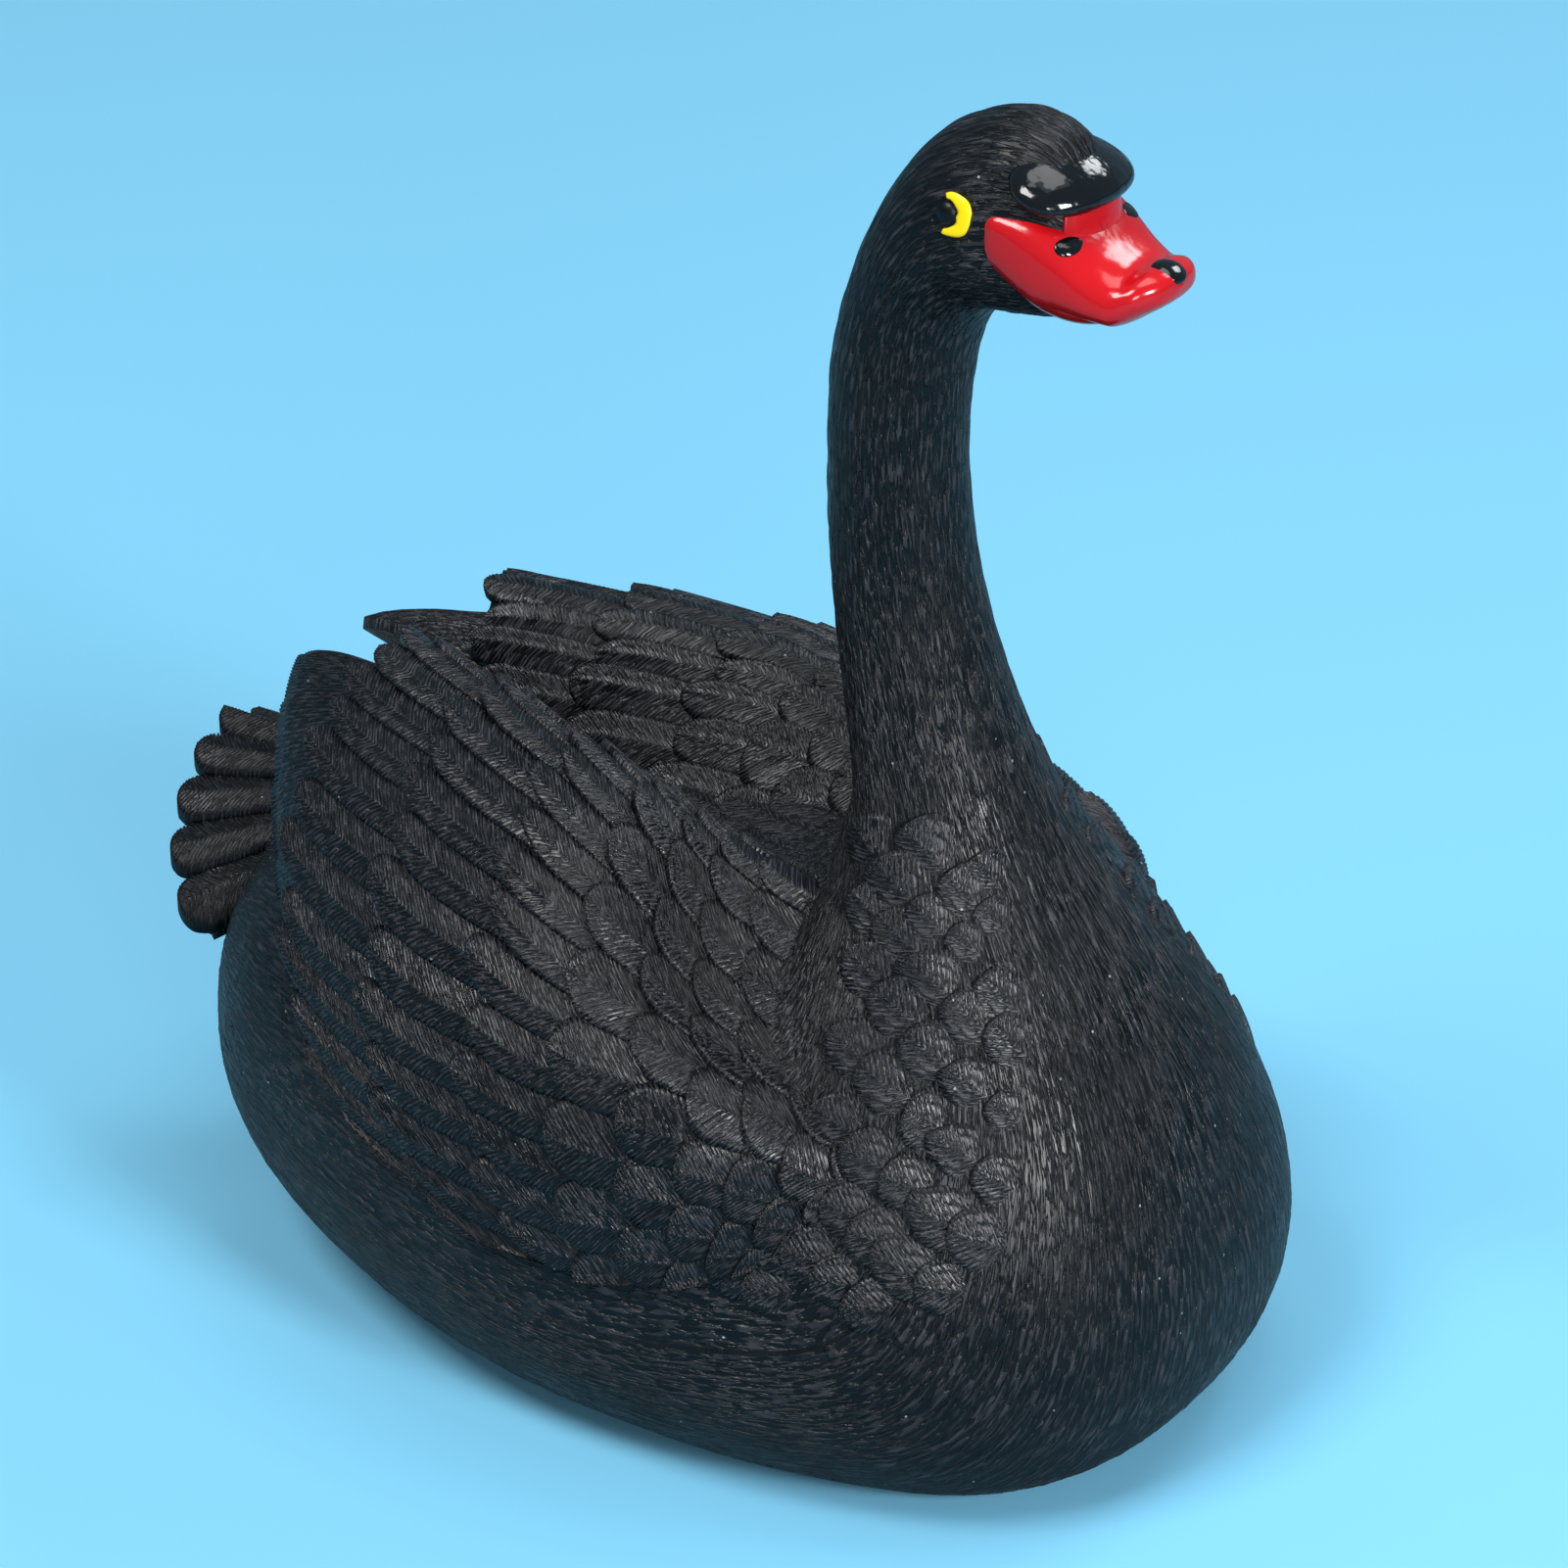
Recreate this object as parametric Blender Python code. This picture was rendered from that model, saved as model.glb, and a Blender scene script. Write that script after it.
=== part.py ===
"""A garden swan cast in one piece: a lofted body, neck and head, feathered wings and a fanned tail."""

import bmesh
import bpy
import numpy as np

MM = 0.001

# Body. The round keel is cut level, so the swan sits on a flat face.
BODY_LENGTH = 206.0
BODY_WIDTH = 144.0
BACK_HEIGHT = 94.0
KEEL_CUT = 10.0
BODY_SQUARENESS = 2.3
BASE_ROUNDING = 4.0

# Neck and head
NECK_FORWARD = 31.7
NECK_THICKNESS = 24.2
NECK_LENGTH = 117.0
HEAD_FORWARD = 57.0
HEAD_LENGTH = 31.0
HEAD_HEIGHT = 33.0
HEAD_WIDTH = 30.0
EYE_WIDTH = 7.0
EYE_STAND_PROUD = 0.7
EYE_BACK = 4.9
EYE_UP = 2.2

# Bill and the knob over its base
BILL_LENGTH = 30.5
BILL_WIDTH = 26.5
BILL_HEIGHT = 20.5
BILL_BACK = 1.0
BILL_DOWN = 6.8
LOWER_BILL_INSET = 0.8
LOWER_BILL_DROP = 2.0
KNOB_LENGTH = 17.0
KNOB_WIDTH = 27.0
KNOB_HEIGHT = 7.6
KNOB_FORWARD = 8.2
KNOB_UP = 7.4
KNOB_TILT = 20.0
KNOB_DROOP = 1.6
KNOB_SQUARENESS = 2.2
NOSTRIL_LENGTH = 4.4
NOSTRIL_HEIGHT = 2.6
NOSTRIL_DEPTH = 1.2
NOSTRIL_FORWARD = 12.8
NOSTRIL_OUT = 11.2
NOSTRIL_UP = 6.0

# Wings: each one is measured from its shoulder back, out from the middle and up from the base
WING_SHOULDER_FORWARD = 62.0
WING_LENGTH = 135.0
WING_SPREAD = 75.0
WING_HEIGHT = 117.5
WING_STAND_PROUD = 2.6
WING_PLATE = 3.6
WING_CORE_FORWARD = -12.0
WING_CORE_OUT = 28.0
WING_CORE_UP = 66.0
FEATHER_STEP = 2.3
PRIMARY_REACH = 95.0
PRIMARY_SINK = 2.0
PRIMARY_BULGE = 1.4
PRIMARY_PLATE = 3.4

# Tail
TAIL_LENGTH = 53.0
TAIL_ROOT_BACK = 70.0
TAIL_TIP_HEIGHT = 81.5
TAIL_SIDE_DROP = 28.0
TAIL_FEATHERS = 9
TAIL_HALF_ANGLE = 45.0
TAIL_THICKNESS = 3.5
TAIL_STEP = 1.6

# How finely each form is divided
BODY_RINGS = 40
RING_POINTS = 28
WING_COLUMNS = 80
PRIMARY_COLUMNS = 22
TAIL_COLUMNS_EACH = 5
TAIL_LINES = (0.0, 0.5, 0.88, 1.0)
BILL_RINGS = 13
BILL_POINTS = 14
KNOB_DIVISIONS = (14, 8)
EYE_DIVISIONS = (8, 6)
NOSTRIL_DIVISIONS = (8, 4)
# Level of the widest point and squareness of a plain round section
ROUND_SECTION = (0.5, 2.0)

# Body stations, tail to breast: belly and back (forward, up), half width, level of the widest point.
# They are shares of half the length, of the back's height and of half the width. Below zero, up is a share
# of the keel's cut.
BODY_STATIONS = (
    (-1.00, 0.50, -1.00, 0.50, 0.000, 0.45),
    (-0.98, 0.31, -0.97, 0.68, 0.310, 0.45),
    (-0.90, 0.13, -0.885, 0.83, 0.575, 0.50),
    (-0.73, 0.02, -0.72, 0.93, 0.765, 0.48),
    (-0.48, -0.55, -0.50, 0.98, 0.895, 0.44),
    (-0.19, -1.00, -0.25, 1.00, 0.975, 0.41),
    (0.115, -1.00, -0.02, 1.01, 1.000, 0.38),
    (0.47, -1.00, 0.135, 1.03, 0.965, 0.40),
    (0.80, -0.45, 0.21, 1.04, 0.870, 0.41),
    (0.96, 0.12, 0.25, 1.07, 0.765, 0.42),
    (1.00, 0.36, 0.27, 1.12, 0.640, 0.45),
    (0.925, 0.64, 0.28, 1.18, 0.490, 0.47),
)
# Neck stations, root to top: front and back (forward of the neck's middle, up), half width.
# They are shares of half the thickness and of the neck's length.
NECK_STATIONS = (
    (4.05, -0.07, -0.31, 0.21, 2.15),
    (2.90, 0.10, -0.47, 0.28, 1.62),
    (2.05, 0.27, -0.68, 0.37, 1.32),
    (1.47, 0.43, -0.84, 0.46, 1.14),
    (1.14, 0.57, -0.95, 0.56, 1.06),
    (1.00, 0.72, -1.00, 0.68, 1.00),
    (1.10, 0.85, -0.95, 0.85, 1.00),
)
# Head stations, nape to face: throat and crown (forward, up of the head's middle), half width.
# They are shares of half the length, of half the height and of half the width.
HEAD_STATIONS = (
    (-0.60, -1.47, -2.10, -1.04, 0.84),
    (-0.30, -1.17, -1.61, -0.07, 0.93),
    (0.04, -1.13, -0.97, 0.65, 0.97),
    (0.40, -1.10, -0.13, 0.99, 0.86),
    (0.68, -1.00, 0.48, 0.88, 0.70),
    (0.88, -0.76, 0.80, 0.48, 0.50),
    (0.97, -0.44, 0.95, 0.05, 0.28),
    (1.00, -0.20, 1.00, -0.20, 0.00),
)
# Bill stations, face to tip: how far forward, top and bottom, half width and level of the widest point, all
# as shares, and squareness. It starts high and square at the face, with its lower corners further forward.
BILL_STATIONS = (
    (0.00, 0.90, -0.20, 0.97, 0.64, 3.4),
    (0.07, 1.02, -0.30, 1.03, 0.64, 3.4),
    (0.28, 0.98, -0.72, 1.02, 0.56, 3.1),
    (0.46, 0.72, -0.88, 0.97, 0.50, 2.8),
    (0.62, 0.36, -0.87, 0.90, 0.45, 2.6),
    (0.76, 0.16, -0.75, 0.82, 0.42, 2.5),
    (0.88, 0.21, -0.52, 0.68, 0.42, 2.5),
    (0.97, 0.12, -0.31, 0.40, 0.42, 2.5),
    (1.00, -0.08, -0.08, 0.00, 0.42, 2.5),
)
# The mouth as shares: its level, how far forward it goes, and the least upper bill over it
MOUTH_LEVEL = -0.78
MOUTH_REACH = 0.90
UPPER_BILL_LEAST = 0.05

# Wing ribs, from the foot between the wings, over the crest and down the flank to the lower edge.
# Each has five stations, shoulder to tip: back, out and up, in hundredths of length, spread and height.
WING_RIBS = (
    ((19, 19, 77), (38, 10, 76), (56, 4, 76), (76, 1, 75), (92, 1, 73)),
    ((10, 26, 83), (36, 27, 85), (54, 24, 89), (76, 17, 91), (95, 11, 92)),
    ((6, 31, 76), (35, 36, 84), (52, 38, 94), (76, 29, 97), (97, 19, 97)),
    ((4, 40, 68), (31, 52, 77), (49, 57, 90), (75, 47, 93), (99, 33, 91)),
    ((3, 52, 61), (26, 67, 70), (46, 75, 81), (73, 66, 83), (98, 51, 81)),
    ((3, 63, 55), (19, 83, 65), (43, 90, 68), (69, 84, 67), (93, 66, 67)),
    ((5, 71, 50), (19, 88, 53), (40, 95, 52), (63, 92, 52), (84, 79, 54)),
    ((8, 78, 45), (21, 88, 39), (37, 92, 36), (52, 92, 37), (66, 88, 40)),
)
# Feather rows, shoulder to tip: where the tips end along the wing, and how many feathers lie abreast
FEATHER_ROWS = (
    (0.07, 8), (0.14, 8), (0.21, 8), (0.285, 10), (0.37, 10), (0.47, 10),
    (0.61, 16), (0.79, 16), (1.0, 16),
)
LONG_ROWS = 3
# Every other long feather ends a little before its neighbours, as a share along the wing
FEATHER_STAGGER = 0.022
SCALLOP_DEPTH = 0.60
LONGEST_SCALLOP = 0.06
SMALL_STEP_SHARE = 0.45
ROW_DROP = 0.004
# How far a feather rises towards its lower edge and along its shaft, as shares of its step
FEATHER_LAP = 0.45
SHAFT_RISE = 0.25
FEATHER_SEAM = 0.03
# The wing stands less proud at the shoulder: share there, and how far along it reaches its full height
FRONT_SHARE = 0.5
FRONT_RISE = 0.25
# The line halfway along a long feather, and the feather's height there, as shares of its own
FEATHER_MIDDLE = (0.5, 0.55)
# How far apart two places on the wing are taken to find which way it faces, as a share
NORMAL_REACH = 0.01

# Outer edge of the long wing feathers under the wing, tip to flank.
# Back and out are shares of the reach and of the wing's spread, and up is a share of its height.
PRIMARY_EDGE = (
    (0.97, 0.085, 0.92), (1.005, 0.13, 0.90), (0.99, 0.23, 0.845),
    (0.93, 0.37, 0.75), (0.85, 0.50, 0.665), (0.75, 0.625, 0.585),
    (0.62, 0.735, 0.515), (0.47, 0.83, 0.46), (0.32, 0.895, 0.415),
)
# Where they leave the wing: first and last place across it, and how far along it. Above the crest they
# face as it does.
WING_CREST = 0.36
PRIMARY_FROM = 0.13
PRIMARY_TO = 0.985
PRIMARY_UNDER = 0.90

# Tail feathers: where they start, how round their ends are, and the gap between two, as shares
TAIL_ROOT = 0.30
TAIL_TIP_ROUND = 0.13
TAIL_TIP_POWER = 2.2
TAIL_SEAM = 0.03
# How much shorter the outermost feathers are, and the power with which that grows across the fan
TAIL_SIDE_SHORT = 0.14
TAIL_SIDE_POWER = 5.0
# How the fan droops: power of the drop across it, and share of the drop at its root
TAIL_DROOP_POWER = 1.3
TAIL_DROOP_ROOT = 0.35
# Rise of a tail feather over the next one and along its shaft, as shares of its step
TAIL_LAP = 0.5
TAIL_SHAFT = 0.4
# Thickness of the fan at its root, as a share of that at the tips
TAIL_ROOT_THICKNESS = 2.3


def spline(rows, at):
    """A smooth curve through rows, read at places from 0 to 1."""
    rows = np.asarray(rows, float)
    place = np.clip(np.atleast_1d(at), 0.0, 1.0) * (len(rows) - 1)
    start = np.minimum(place.astype(int), len(rows) - 2)
    part = (place - start).reshape((-1,) + (1,) * (rows.ndim - 1))
    padded = np.concatenate([[2 * rows[0] - rows[1]], rows, [2 * rows[-1] - rows[-2]]])
    a, b, c, d = (padded[start + step] for step in range(4))
    bend = 2 * a - 5 * b + 4 * c - d + part * (3 * (b - c) + d - a)
    return b + 0.5 * part * (c - a + part * bend)


def section(low, high, half_width, level, squareness, count):
    """One ring from a low point to a high point in the middle plane, widest at a level between them."""
    turn = np.linspace(0, 2 * np.pi, count, endpoint=False)
    across, along = np.cos(turn), np.sin(turn)
    power = 2 / squareness
    side = half_width * np.sign(across) * np.abs(across) ** power
    rise = np.abs(along) ** power
    share = np.where(along >= 0, level + (1 - level) * rise, level - level * rise)[:, None]
    middle = np.asarray(low) + (np.asarray(high) - np.asarray(low)) * share
    return np.column_stack([middle[:, 0], side, middle[:, 1]])


def body_stations():
    """Every station of the body, neck and head as (belly x, z, back x, z, half width, level, squareness)."""
    rows = []
    for low_x, low_z, high_x, high_z, width, level in BODY_STATIONS:
        keel = low_z * (KEEL_CUT if low_z < 0 else BACK_HEIGHT)
        half = BODY_LENGTH / 2
        rows.append((
            low_x * half, keel, high_x * half, high_z * BACK_HEIGHT,
            width * BODY_WIDTH / 2, level, BODY_SQUARENESS,
        ))
    for low_x, low_z, high_x, high_z, width in NECK_STATIONS:
        half = NECK_THICKNESS / 2
        rows.append((
            NECK_FORWARD + low_x * half, BACK_HEIGHT + low_z * NECK_LENGTH,
            NECK_FORWARD + high_x * half, BACK_HEIGHT + high_z * NECK_LENGTH, width * half, *ROUND_SECTION,
        ))
    middle = head_middle()
    for low_x, low_z, high_x, high_z, width in HEAD_STATIONS:
        rows.append((
            middle[0] + low_x * HEAD_LENGTH / 2, middle[1] + low_z * HEAD_HEIGHT / 2,
            middle[0] + high_x * HEAD_LENGTH / 2, middle[1] + high_z * HEAD_HEIGHT / 2,
            width * HEAD_WIDTH / 2, *ROUND_SECTION,
        ))
    return np.array(rows)


def head_middle():
    return np.array([HEAD_FORWARD, BACK_HEIGHT + NECK_LENGTH + HEAD_HEIGHT / 2])


def on_the_base(height):
    """The flat base with a rounded lip: heights near zero bend smoothly into it."""
    bent = (height + BASE_ROUNDING) ** 2 / (4 * BASE_ROUNDING)
    return np.where(height > BASE_ROUNDING, height, np.where(height < -BASE_ROUNDING, 0.0, bent))


def add_mesh(name, points, faces):
    """A closed mesh in metres, set midway between breast and tail tip, with every face turned outwards."""
    mesh = bpy.data.meshes.new(name)
    form = bmesh.new()
    middle = np.array([(TAIL_ROOT_BACK + TAIL_LENGTH - BODY_LENGTH / 2) / 2, 0.0, 0.0])
    corners = [form.verts.new((point + middle) * MM) for point in points]
    for face in faces:
        form.faces.new([corners[i] for i in face])
    bmesh.ops.recalc_face_normals(form, faces=form.faces[:])
    form.to_mesh(mesh)
    form.free()
    thing = bpy.data.objects.new(name, mesh)
    bpy.context.scene.collection.objects.link(thing)
    return thing


def loft(name, rings):
    """Rings of equal count bridged in order. The first and the last ring close to a point."""
    count = len(rings[0])
    points = [np.mean(rings[0], axis=0)]
    points += [point for ring in rings[1:-1] for point in ring]
    points.append(np.mean(rings[-1], axis=0))
    last = len(points) - 1
    faces = []
    for i in range(count):
        after = (i + 1) % count
        faces.append((0, 1 + after, 1 + i))
        for ring in range(len(rings) - 3):
            row = 1 + ring * count
            faces.append((row + i, row + after, row + count + after, row + count + i))
        row = last - count
        faces.append((row + i, row + after, last))
    return add_mesh(name, points, faces)


def shell(name, grid, apex):
    """A grid of points closed to one point that lies inside the body."""
    lines, columns = grid.shape[:2]
    index = np.arange(lines * columns).reshape(lines, columns)
    faces = []
    for i in range(lines - 1):
        for j in range(columns - 1):
            faces.append((index[i, j], index[i, j + 1], index[i + 1, j + 1], index[i + 1, j]))
    rim = list(index[0, :]) + list(index[1:, -1])
    rim += list(index[-1, -2::-1]) + list(index[-2:0:-1, 0])
    top = lines * columns
    for a, b in zip(rim, rim[1:] + rim[:1]):
        faces.append((b, a, top))
    return add_mesh(name, list(grid.reshape(-1, 3)) + [np.asarray(apex, float)], faces)


def make_body():
    stations = spline(body_stations(), np.linspace(0, 1, BODY_RINGS))
    rings = []
    for low_x, low_z, high_x, high_z, width, level, squareness in stations:
        ring = section((low_x, low_z), (high_x, high_z), max(width, 0.0), level, squareness, RING_POINTS)
        ring[:, 2] = on_the_base(ring[:, 2])
        rings.append(ring)
    return loft("swan", rings)


def wing_point(across, along):
    """The wing's plain surface: across it from the foot between the wings, and along it from the shoulder."""
    size = np.array([WING_LENGTH, WING_SPREAD, WING_HEIGHT]) / 100
    ribs = np.asarray(WING_RIBS, float) * size
    lines = spline(np.swapaxes(ribs, 0, 1), along)
    point = spline(lines[0], across)[0]
    return np.array([WING_SHOULDER_FORWARD - point[0], point[1], point[2]])


def wing_normal(across, along):
    """The direction that points out of the wing."""
    a = min(across + NORMAL_REACH, 1.0)
    b = max(across - NORMAL_REACH, 0.0)
    c = min(along + NORMAL_REACH, 1.0)
    d = max(along - NORMAL_REACH, 0.0)
    sideways = wing_point(a, along) - wing_point(b, along)
    backwards = wing_point(across, c) - wing_point(across, d)
    normal = np.cross(sideways, backwards)
    return normal / np.linalg.norm(normal)


def feather_place(row, column):
    """Where a column of the grid lies in its row: share across the wing, feather, and share across that."""
    count = FEATHER_ROWS[row][1]
    each = WING_COLUMNS // count
    shift = (row % 2) * (each // 2)
    feather, place = divmod(column + shift, each)
    own = FEATHER_SEAM + (1 - 2 * FEATHER_SEAM) * place / (each - 1)
    across = (feather + own - shift / each) / count
    if column in (0, WING_COLUMNS):
        across = column / WING_COLUMNS
    return np.clip(across, 0.0, 1.0), feather, own


def wing_lines():
    """Each line across the wing as (row, share from the last tips to these, height of the feather there)."""
    lines = [(0, 0.0, 0.0)]
    for row in range(len(FEATHER_ROWS)):
        if row >= len(FEATHER_ROWS) - LONG_ROWS:
            lines.append((row, *FEATHER_MIDDLE))
        lines.append((row, 1.0, 1.0))
        if row < len(FEATHER_ROWS) - 1:
            lines.append((row, 1.0, 0.0))
    return lines


def tip_place(row, feather, own):
    """Where a feather of a row ends along the wing, at a share across it: its end is an arc."""
    if row < 0:
        return 0.0
    end = FEATHER_ROWS[row][0]
    start = FEATHER_ROWS[row - 1][0] if row else 0.0
    depth = min(SCALLOP_DEPTH * (end - start), LONGEST_SCALLOP)
    if row >= len(FEATHER_ROWS) - LONG_ROWS:
        end -= FEATHER_STAGGER * (feather % 2)
    return end - depth * (1 - np.sqrt(1 - (2 * own - 1) ** 2))


def wing_grid():
    """The feathered surface: each row rises from under the tips before it and steps down at its own."""
    steps = np.linspace(SMALL_STEP_SHARE, 1.0, len(FEATHER_ROWS)) * FEATHER_STEP
    grid = []
    for row, share, height in wing_lines():
        line = []
        for column in range(WING_COLUMNS + 1):
            across, feather, own = feather_place(row, column)
            end = tip_place(row, feather, own)
            start = tip_place(row - 1, *feather_place(row - 1, column)[1:]) if row else 0.0
            along = start + (end - start) * share
            lap = FEATHER_LAP * own + SHAFT_RISE * (1 - (2 * own - 1) ** 2)
            rise = (height + lap * (height > 0)) * steps[row]
            if share == 1 and height == 0:
                along += ROW_DROP
            proud = WING_STAND_PROUD * (FRONT_SHARE + (1 - FRONT_SHARE) * min(1.0, along / FRONT_RISE))
            inside = min(1.0, column, WING_COLUMNS - column) * (share > 0)
            line.append(wing_point(across, along) + wing_normal(across, along) * (rise + proud) * inside)
        grid.append(line)
    last = len(FEATHER_ROWS) - 1
    rim = []
    for column, point in enumerate(grid[-1]):
        rim.append(point - wing_normal(feather_place(last, column)[0], 1.0) * WING_PLATE)
    grid.append(rim)
    return np.array(grid)


def primary_grid():
    """The plate of long feathers that shows behind and below the wing."""
    shares = np.linspace(0, 1, PRIMARY_COLUMNS + 1)
    edge = spline(PRIMARY_EDGE, shares) * np.array([-PRIMARY_REACH, WING_SPREAD, WING_HEIGHT])
    grid = [[], [], [], []]
    for share, outer in zip(shares, edge):
        across = PRIMARY_FROM + (PRIMARY_TO - PRIMARY_FROM) * share
        normal = wing_normal(max(across, WING_CREST), PRIMARY_UNDER)
        inner = wing_point(across, PRIMARY_UNDER) - wing_normal(across, PRIMARY_UNDER) * PRIMARY_SINK
        grid[0].append(inner)
        grid[1].append((inner + outer) / 2 + normal * PRIMARY_BULGE)
        grid[2].append(outer)
        grid[3].append(outer - normal * PRIMARY_PLATE)
    return np.array(grid)


def make_wing(name, side):
    """One wing and the long feathers under it, both closed to the same point inside the body."""
    turn = np.array([1.0, side, 1.0])
    inside = np.array([WING_CORE_FORWARD, WING_CORE_OUT, WING_CORE_UP]) * turn
    wing = shell(name, wing_grid() * turn, inside)
    return [wing, shell(name + "_primaries", primary_grid() * turn, inside)]


def make_tail():
    """A fan of overlapping feathers, arched from the middle down to each side, each one over the next."""
    half_angle = np.radians(TAIL_HALF_ANGLE)
    places = np.linspace(TAIL_SEAM, 1 - TAIL_SEAM, TAIL_COLUMNS_EACH)
    top = []
    bottom = []
    for share in TAIL_LINES:
        upper = []
        lower = []
        for feather in range(TAIL_FEATHERS):
            side = np.sign(feather - (TAIL_FEATHERS - 1) / 2)
            for place in places:
                across = 2 * place - 1
                turn = 2 * (feather + place) / TAIL_FEATHERS - 1
                angle = half_angle * turn
                round_end = 1 - TAIL_TIP_ROUND * abs(across) ** TAIL_TIP_POWER
                full = 1 - TAIL_SIDE_SHORT * abs(turn) ** TAIL_SIDE_POWER
                reach = TAIL_LENGTH * (TAIL_ROOT + (1 - TAIL_ROOT) * share * round_end * full)
                droop = TAIL_DROOP_ROOT + (1 - TAIL_DROOP_ROOT) * share
                drop = TAIL_SIDE_DROP * abs(turn) ** TAIL_DROOP_POWER * droop
                lap = TAIL_LAP * (side * across if side else -abs(across))
                rise = (lap + TAIL_SHAFT * (1 - across ** 2)) * (share > 0)
                height = TAIL_TIP_HEIGHT - drop + TAIL_STEP * rise
                thick = TAIL_THICKNESS * (TAIL_ROOT_THICKNESS + (1 - TAIL_ROOT_THICKNESS) * share)
                x = -TAIL_ROOT_BACK - reach * np.cos(angle)
                y = reach * np.sin(angle)
                upper.append((x, y, height))
                lower.append((x, y, height - thick))
        top.append(upper)
        bottom.append(lower)
    return slab("tail", np.array(top), np.array(bottom))


def slab(name, top, bottom):
    """Two grids of one size joined round their rims."""
    lines, columns = top.shape[:2]
    index = np.arange(lines * columns).reshape(lines, columns)
    under = index + lines * columns
    faces = []
    for i in range(lines - 1):
        for j in range(columns - 1):
            faces.append((index[i, j], index[i, j + 1], index[i + 1, j + 1], index[i + 1, j]))
            faces.append((under[i, j], under[i + 1, j], under[i + 1, j + 1], under[i, j + 1]))
    rim = [(0, j) for j in range(columns)] + [(i, columns - 1) for i in range(1, lines)]
    rim += [(lines - 1, j) for j in range(columns - 2, -1, -1)]
    rim += [(i, 0) for i in range(lines - 2, 0, -1)]
    for a, b in zip(rim, rim[1:] + rim[:1]):
        faces.append((index[b], index[a], under[a], under[b]))
    return add_mesh(name, list(top.reshape(-1, 3)) + list(bottom.reshape(-1, 3)), faces)


def bill_middle():
    """The middle of the bill's back end, sunk into the face."""
    middle = head_middle()
    return np.array([middle[0] - BILL_BACK, middle[1] - BILL_DOWN])


def make_bill():
    """Upper and lower bill as two lofts: the lower one is narrower, which leaves the mouth as a step."""
    start = bill_middle()
    stations = spline(BILL_STATIONS, np.linspace(0, 1, BILL_RINGS))
    parts = []
    half = BILL_HEIGHT / 2
    kinds = (("upper_bill", 0.0, 0.0, 1.0), ("lower_bill", LOWER_BILL_INSET, LOWER_BILL_DROP, MOUTH_REACH))
    for name, inset, drop, reach in kinds:
        rings = []
        for forward, top, bottom, width, level, squareness in stations:
            low = bottom if drop else max(bottom, min(MOUTH_LEVEL, top - UPPER_BILL_LEAST))
            x = start[0] + forward * BILL_LENGTH * reach
            under = (x, start[1] + low * half)
            over = (x, start[1] + top * half - drop)
            half_width = max(width * BILL_WIDTH / 2 - inset, 0.0)
            rings.append(section(under, over, half_width, level, squareness, BILL_POINTS))
        parts.append(loft(name, rings))
    return parts


def ellipsoid(name, place, sizes, divisions, tilt=0.0, squareness=2.0, droop=0.0):
    """A stretched ball, tipped forwards by a tilt in degrees, square in plan, with ends that droop."""
    turn = np.radians(tilt)
    around, up = divisions
    power = 2 / squareness
    rings = []
    for level in np.linspace(-np.pi / 2, np.pi / 2, up + 1):
        ring = []
        for angle in np.linspace(0, 2 * np.pi, around, endpoint=False):
            forward, out = np.cos(angle), np.sin(angle)
            out = np.cos(level) * np.sign(out) * abs(out) ** power
            x = sizes[0] / 2 * np.cos(level) * np.sign(forward) * abs(forward) ** power
            y = sizes[1] / 2 * out
            z = sizes[2] / 2 * np.sin(level) - droop * out ** 2
            turned = (x * np.cos(turn) + z * np.sin(turn), y, z * np.cos(turn) - x * np.sin(turn))
            ring.append(np.asarray(place) + turned)
        rings.append(np.array(ring))
    return loft(name, rings)


def make_knob():
    middle = head_middle()
    place = (middle[0] + KNOB_FORWARD, 0.0, middle[1] + KNOB_UP)
    size = (KNOB_LENGTH, KNOB_WIDTH, KNOB_HEIGHT)
    return ellipsoid("knob", place, size, KNOB_DIVISIONS, KNOB_TILT, KNOB_SQUARENESS, KNOB_DROOP)


def make_eyes():
    middle = head_middle()
    out = HEAD_WIDTH / 2 - EYE_WIDTH / 2 + EYE_STAND_PROUD
    sizes = (EYE_WIDTH, EYE_WIDTH, EYE_WIDTH)
    places = [(middle[0] - EYE_BACK, side * out, middle[1] + EYE_UP) for side in (-1, 1)]
    return [ellipsoid(f"eye_{i}", place, sizes, EYE_DIVISIONS) for i, place in enumerate(places)]


def nostril_cutters():
    start = bill_middle()
    sizes = (NOSTRIL_LENGTH, 2 * NOSTRIL_DEPTH, NOSTRIL_HEIGHT)
    places = [(start[0] + NOSTRIL_FORWARD, side * NOSTRIL_OUT, start[1] + NOSTRIL_UP) for side in (-1, 1)]
    return [ellipsoid(f"nostril_{i}", place, sizes, NOSTRIL_DIVISIONS) for i, place in enumerate(places)]


def satin_black():
    material = bpy.data.materials.new("satin_black_paint")
    material.use_nodes = True
    shader = material.node_tree.nodes["Principled BSDF"]
    shader.inputs["Base Color"].default_value = (0.012, 0.012, 0.013, 1.0)
    shader.inputs["Roughness"].default_value = 0.42
    shader.inputs["Metallic"].default_value = 0.0
    return material


def combine(body, group_name, things, operation):
    """Joins or cuts things with one exact Boolean, and keeps them as hidden guides."""
    group = bpy.data.collections.new(group_name)
    bpy.context.scene.collection.children.link(group)
    for thing in things:
        bpy.context.scene.collection.objects.unlink(thing)
        group.objects.link(thing)
        thing.hide_render = True
        thing.display_type = "WIRE"
    modifier = body.modifiers.new(group_name, "BOOLEAN")
    modifier.operation = operation
    modifier.operand_type = "COLLECTION"
    modifier.collection = group
    modifier.solver = "EXACT"
    modifier.use_self = True


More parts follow.
